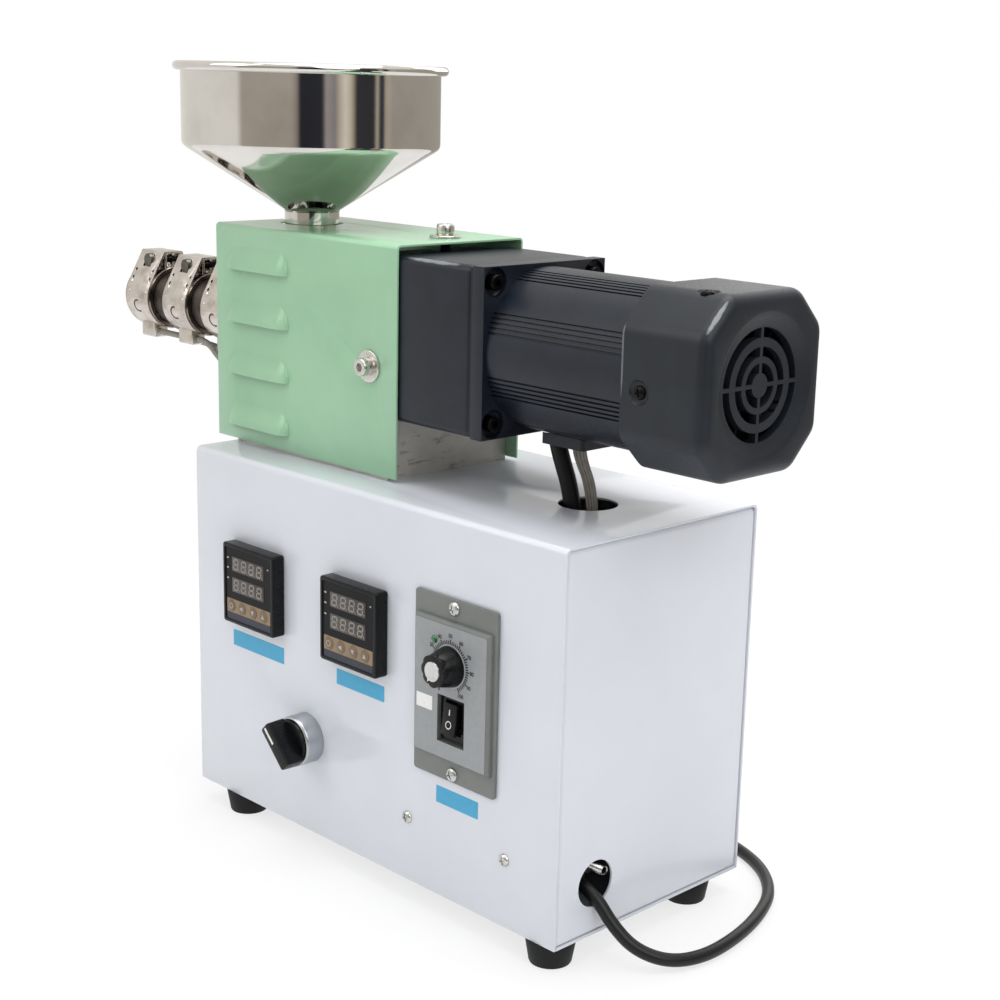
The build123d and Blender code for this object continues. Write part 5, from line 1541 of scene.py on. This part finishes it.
class EXTRUDER_OT_gearmotor(bpy.types.Operator):
    """Square gearbox and flange, grooved motor body, fan cover with ring grille, and the fan"""

    bl_idname = "extruder.gearmotor"
    bl_label = "Gearbox and motor"

    def execute(self, context):
        half = motor_half
        right = gearbox_high.x
        low = (gearbox_low.x, motor_y - half, motor_z - half)
        case = block("case", low, (right - 0.35, motor_y + half, motor_z + half), 4.0, 6)
        low = (right - 3, motor_y - half + 0.8, motor_z - half + 0.8)
        seam = block("seam", low, (right + 0.5, motor_y + half - 0.8, motor_z + half - 0.8))
        dress(joined("gearbox_case", [case, seam]), "motor", ["gearbox"])
        self.flange(half)
        self.stator(context.scene.extruder_motor.groove_depth / MM)
        self.fan_cover(half)
        self.fan()
        return {"FINISHED"}

    def flange(self, half):
        """The flange with the cap screws scooped into its corners."""
        low = (gearbox_high.x + 0.15, motor_y - half, motor_z - half)
        flange = block("flange_plate", low, (stator_left, motor_y + half, motor_z + half))
        screws, aside = [], 36.8
        for side_y in (-1, 1):
            for side_z in (-1, 1):
                y, z = motor_y + side_y * aside, motor_z + side_z * aside
                profile = [(0, 0), (6.4, 0), (7.6, 1.4), (8.2, 9), (0, 9)]
                cut(flange, turned("scoop", profile, (stator_left - 4.2, y, z), (1, 0, 0), 48))
                screws.append(cap_screw((stator_left - 4.2, y, z), (1, 0, 0), 4.2, 6.1, 2.1))
        dress(soften(flange, 0.9, 3, 40), "motor", ["motor_flange"])
        dress(joined("flange_screws", screws), "oxide")

    def stator(self, deep):
        """A round shell with eight groups of five fine grooves along it."""
        half_wide = math.degrees(0.6 / stator_radius)
        grooves = [(group + 0.5) * 45 + (index - 2) * 3.5 for group in range(8) for index in range(5)]
        places = [(angle, 0) for angle in range(0, 360, 2)
                  if all(abs(angle - groove) > half_wide * 1.4 for groove in grooves)]
        for groove in grooves:
            places += [(groove - half_wide, 0), (groove - half_wide * 0.7, 1), (groove + half_wide * 0.7, 1)]
            places.append((groove + half_wide, 0))
        outline = []
        for angle, low in sorted(places):
            reach = stator_radius - deep * low
            outline.append((reach * math.cos(math.radians(angle)), reach * math.sin(math.radians(angle))))
        body = plate("motor_shell", outline, seam_x + 3 - stator_left, across(stator_left, motor_z))
        dress(body, "motor", ["motor_body"], smooth=25)

    def cut_square(self, half, chamfer, radius):
        """Outline of a square with cut corners, every corner rounded."""
        edge, steps, points = half - chamfer, 6, []
        raw = [(half, -edge), (half, edge), (edge, half), (-edge, half), (-half, edge), (-half, -edge)]
        raw = [Vector(corner) for corner in raw + [(-edge, -half), (edge, -half)]]
        reach = radius * math.tan(math.radians(22.5))
        for index, corner in enumerate(raw):
            start = corner + (raw[index - 1] - corner).normalized() * reach
            end = corner + (raw[(index + 1) % 8] - corner).normalized() * reach
            for step in range(steps + 1):
                share = step / steps
                points.append(tuple(start.lerp(corner, share).lerp(corner.lerp(end, share), share)))
        return points

    def fan_cover(self, half):
        """The hollow fan cover, its dished grille cut through to the fan."""
        length = motor_right - seam_x
        end = (motor_right, motor_y, motor_z)
        body = plate("fan_cover_shell", self.cut_square(half, 18.5, 12), length, across(seam_x, motor_z))
        round_rim(body, lambda face: face.normal.x > 0.9, 6.5, 8)
        hollow = plate(
            "hollow", self.cut_square(half - 1.6, 17.7, 11), length - 3, across(seam_x - 5, motor_z)
        )
        profile = [
            (0, -3.5), (27.4, -3.5), (29.4, -3.2), (33.0, -1.0), (35.6, -0.1), (37.4, 0.3), (38, 3), (0, 3)
        ]
        cut(body, hollow, turned("dish", profile, end, (1, 0, 0), 96))
        for outer, inner in ((27.8, 23.0), (18.6, 13.9), (10.8, 6.0)):
            ring = turned(
                "slot_ring", [(inner, -20), (outer, -20), (outer, 5), (inner, 5)], end, (1, 0, 0), 72, True
            )
            upright = block(
                "rib", (end[0] - 30, motor_y - 1, motor_z - 40), (end[0] + 10, motor_y + 1, motor_z + 40)
            )
            level = block(
                "rib", (end[0] - 30, motor_y - 40, motor_z - 1), (end[0] + 10, motor_y + 40, motor_z + 1)
            )
            cut(body, cut(ring, upright, level))
        places = {
            "fan_cover_side_screw": (
                Vector((cabinet_x + 168.5, motor_y - half, motor_z - 4)), Vector((0, -1, 0))
            ),
            "fan_cover_top_screw": (
                Vector((cabinet_x + 191, motor_y - 25, motor_z + half)), Vector((0, 0, 1))
            ),
        }
        for name, (place, way) in places.items():
            profile = [(0, -1.3), (5.0, -1.3), (5.7, -0.8), (6.3, 0.1), (6.3, 3), (0, 3)]
            cut(body, turned("well", profile, place, way, 48))
            screw = pan_screw(name, place - way * 1.5, way, 3.5, 15)
            dress(screw, "oxide")
        dress(body, "fan_cover", ["fan_cover"], smooth=32)

    def fan(self):
        """The fan that turns behind the grille, with its shaft."""
        low = span("cooling_fan")[0]
        disc_x = motor_right - 25.5
        profile = [(0, 0), (36, 0), (36, 2), (11, 2.2), (10, 14), (4.5, 14), (4.5, 12), (0, 12)]
        pieces = [turned("disc", profile, (disc_x, motor_y, motor_z), (1, 0, 0), 64)]
        blade_count = 7
        for index in range(blade_count):
            turn = 2 * math.pi * index / blade_count
            way = Vector((0, math.cos(turn), math.sin(turn)))
            side = Vector((0, -math.sin(turn), math.cos(turn)))
            outline = [(9.5, -0.8), (35.6, -0.8), (35.6, 0.8), (9.5, 0.8)]
            lay = looking(way, side, (disc_x + 1, motor_y, motor_z))
            pieces.append(soften(plate("blade", outline, 12.6, lay), 0.4, 2, 50))
        dress(joined("fan_wheel", pieces), "fan", ["cooling_fan"], "fan")
        reach = disc_x + 12 - low.x
        profile = [(0, 0), (4, 0), (4, reach), (0, reach)]
        dress(turned("fan_shaft", profile, (low.x, motor_y, motor_z), (1, 0, 0), 24), "zinc", (), "fan")


# The leads


class EXTRUDER_OT_leads(bpy.types.Operator):
    """Lead block under the motor, sleeve and wires into the cabinet, and the heater leads"""

    bl_idname = "extruder.leads"
    bl_label = "Leads"

    def execute(self, context):
        dress_node("lead_block", "motor")
        block_low = span("lead_block")[0]
        bottom = block_low.z
        hole_x = wire_hole_x
        x = block_low.x + 5.2
        route = [(x, motor_y - 5.5, bottom + 1), (x + 0.8, motor_y - 5.5, bottom - 3)]
        route += [(hole_x - 6, motor_y - 2, top_z + 2), (hole_x - 5, motor_y - 2, top_z - 16)]
        dress(tube("motor_lead_sleeve", route, 4.6), "sleeve", ["motor_sleeve"], smooth=50)
        x = block_low.x + 18
        strands = []
        for aside, deep in (
            (-3.9, 0.4), (-2.6, -0.4), (-1.3, 0.4), (0, -0.4), (1.3, 0.4), (2.6, -0.4), (3.9, 0.4)
        ):
            route = [(x + aside, motor_y - 3 + deep, bottom + 1), (x + aside, motor_y - 3 + deep, bottom - 5)]
            route.append((hole_x + 4.5 + aside * 0.8, motor_y + 1 + deep, top_z + 8))
            route.append((hole_x + 5 + aside * 0.7, motor_y + 2 + deep, top_z - 16))
            strands.append(tube("strand", route, 0.9, 3))
        dress(joined("motor_lead_wires", strands), "wires", ["motor_braid"], smooth=50)

        right = middle("heater_band_1").x + 8
        pitch = 42.6
        y, z = motor_y - 7, barrel_z - 23
        hole_x, hole_y = lead_hole_x, lead_hole_y
        grommet, edge = base_high.z, cover_low.x + 1
        routes = [
            [(right, y, z), (right + 10, y, z), (right + 24, motor_y + 2.6, z - 3),
             (right + 72, motor_y + 3.2, z - 7), (right + 101, motor_y - 4, z - 12),
             (edge, motor_y - 32, z - 26), (hole_x, hole_y + 3.4, grommet + 4),
             (hole_x, hole_y + 3.4, top_z - 16)],
            [(right + pitch, y, z), (right + pitch + 10, y, z), (right + pitch + 27, y - 2, z - 10.5),
             (right + pitch + 55, y - 7, z - 15), (edge, motor_y - 37, z - 22),
             (hole_x - 3, hole_y - 2, grommet + 5), (hole_x - 3, hole_y - 2, top_z - 16)],
            [(right + 2 * pitch, y, z), (right + 2 * pitch + 12, y, z), (edge, motor_y - 32, z - 12),
             (hole_x + 3, hole_y - 2, grommet + 9), (hole_x + 3, hole_y - 2, top_z - 16)],
        ]
        for index, route in enumerate(routes):
            lead = tube(f"heater_lead_{index + 1}_braid", route, 2.0, 4)
            dress(lead, "braid", [f"heater_lead_{index + 1}"], smooth=50)
        return {"FINISHED"}


class EXTRUDER_PT_build(bpy.types.Panel):
    """Lists the steps that build the machine"""

    bl_idname = "EXTRUDER_PT_build"
    bl_label = "Single screw extruder"
    bl_space_type = "VIEW_3D"
    bl_region_type = "UI"
    bl_category = "Extruder"

    def draw(self, context):
        column = self.layout.column()
        for group in ("extruder_cabinet", "extruder_top", "extruder_motor"):
            settings = getattr(context.scene, group)
            for name in type(settings).__annotations__:
                column.prop(settings, name)
            column.separator()
        for step in steps:
            column.operator(step.bl_idname)


groups = (ExtruderCabinet, ExtruderTop, ExtruderMotor)
steps = (
    EXTRUDER_OT_stage,
    EXTRUDER_OT_cord,
    EXTRUDER_OT_cabinet,
    EXTRUDER_OT_controllers,
    EXTRUDER_OT_speed_panel,
    EXTRUDER_OT_selector,
    EXTRUDER_OT_front_details,
    EXTRUDER_OT_barrel,
    EXTRUDER_OT_hopper,
    EXTRUDER_OT_cover,
    EXTRUDER_OT_gearmotor,
    EXTRUDER_OT_leads,
)


def register():
    for kind in (*groups, *steps, EXTRUDER_PT_build):
        bpy.utils.register_class(kind)
    bpy.types.Scene.extruder_cabinet = bpy.props.PointerProperty(type=ExtruderCabinet)
    bpy.types.Scene.extruder_top = bpy.props.PointerProperty(type=ExtruderTop)
    bpy.types.Scene.extruder_motor = bpy.props.PointerProperty(type=ExtruderMotor)


def unregister():
    for name in ("extruder_motor", "extruder_top", "extruder_cabinet"):
        delattr(bpy.types.Scene, name)
    for kind in reversed((*groups, *steps, EXTRUDER_PT_build)):
        bpy.utils.unregister_class(kind)


def main():
    register()
    bpy.ops.extruder.stage()
    bpy.ops.extruder.cord()
    bpy.ops.extruder.cabinet()
    bpy.ops.extruder.controllers()
    bpy.ops.extruder.speed_panel()
    bpy.ops.extruder.selector()
    bpy.ops.extruder.front_details()
    bpy.ops.extruder.barrel()
    bpy.ops.extruder.hopper()
    bpy.ops.extruder.cover()
    bpy.ops.extruder.gearmotor()
    bpy.ops.extruder.leads()


if __name__ == "__main__":
    main()
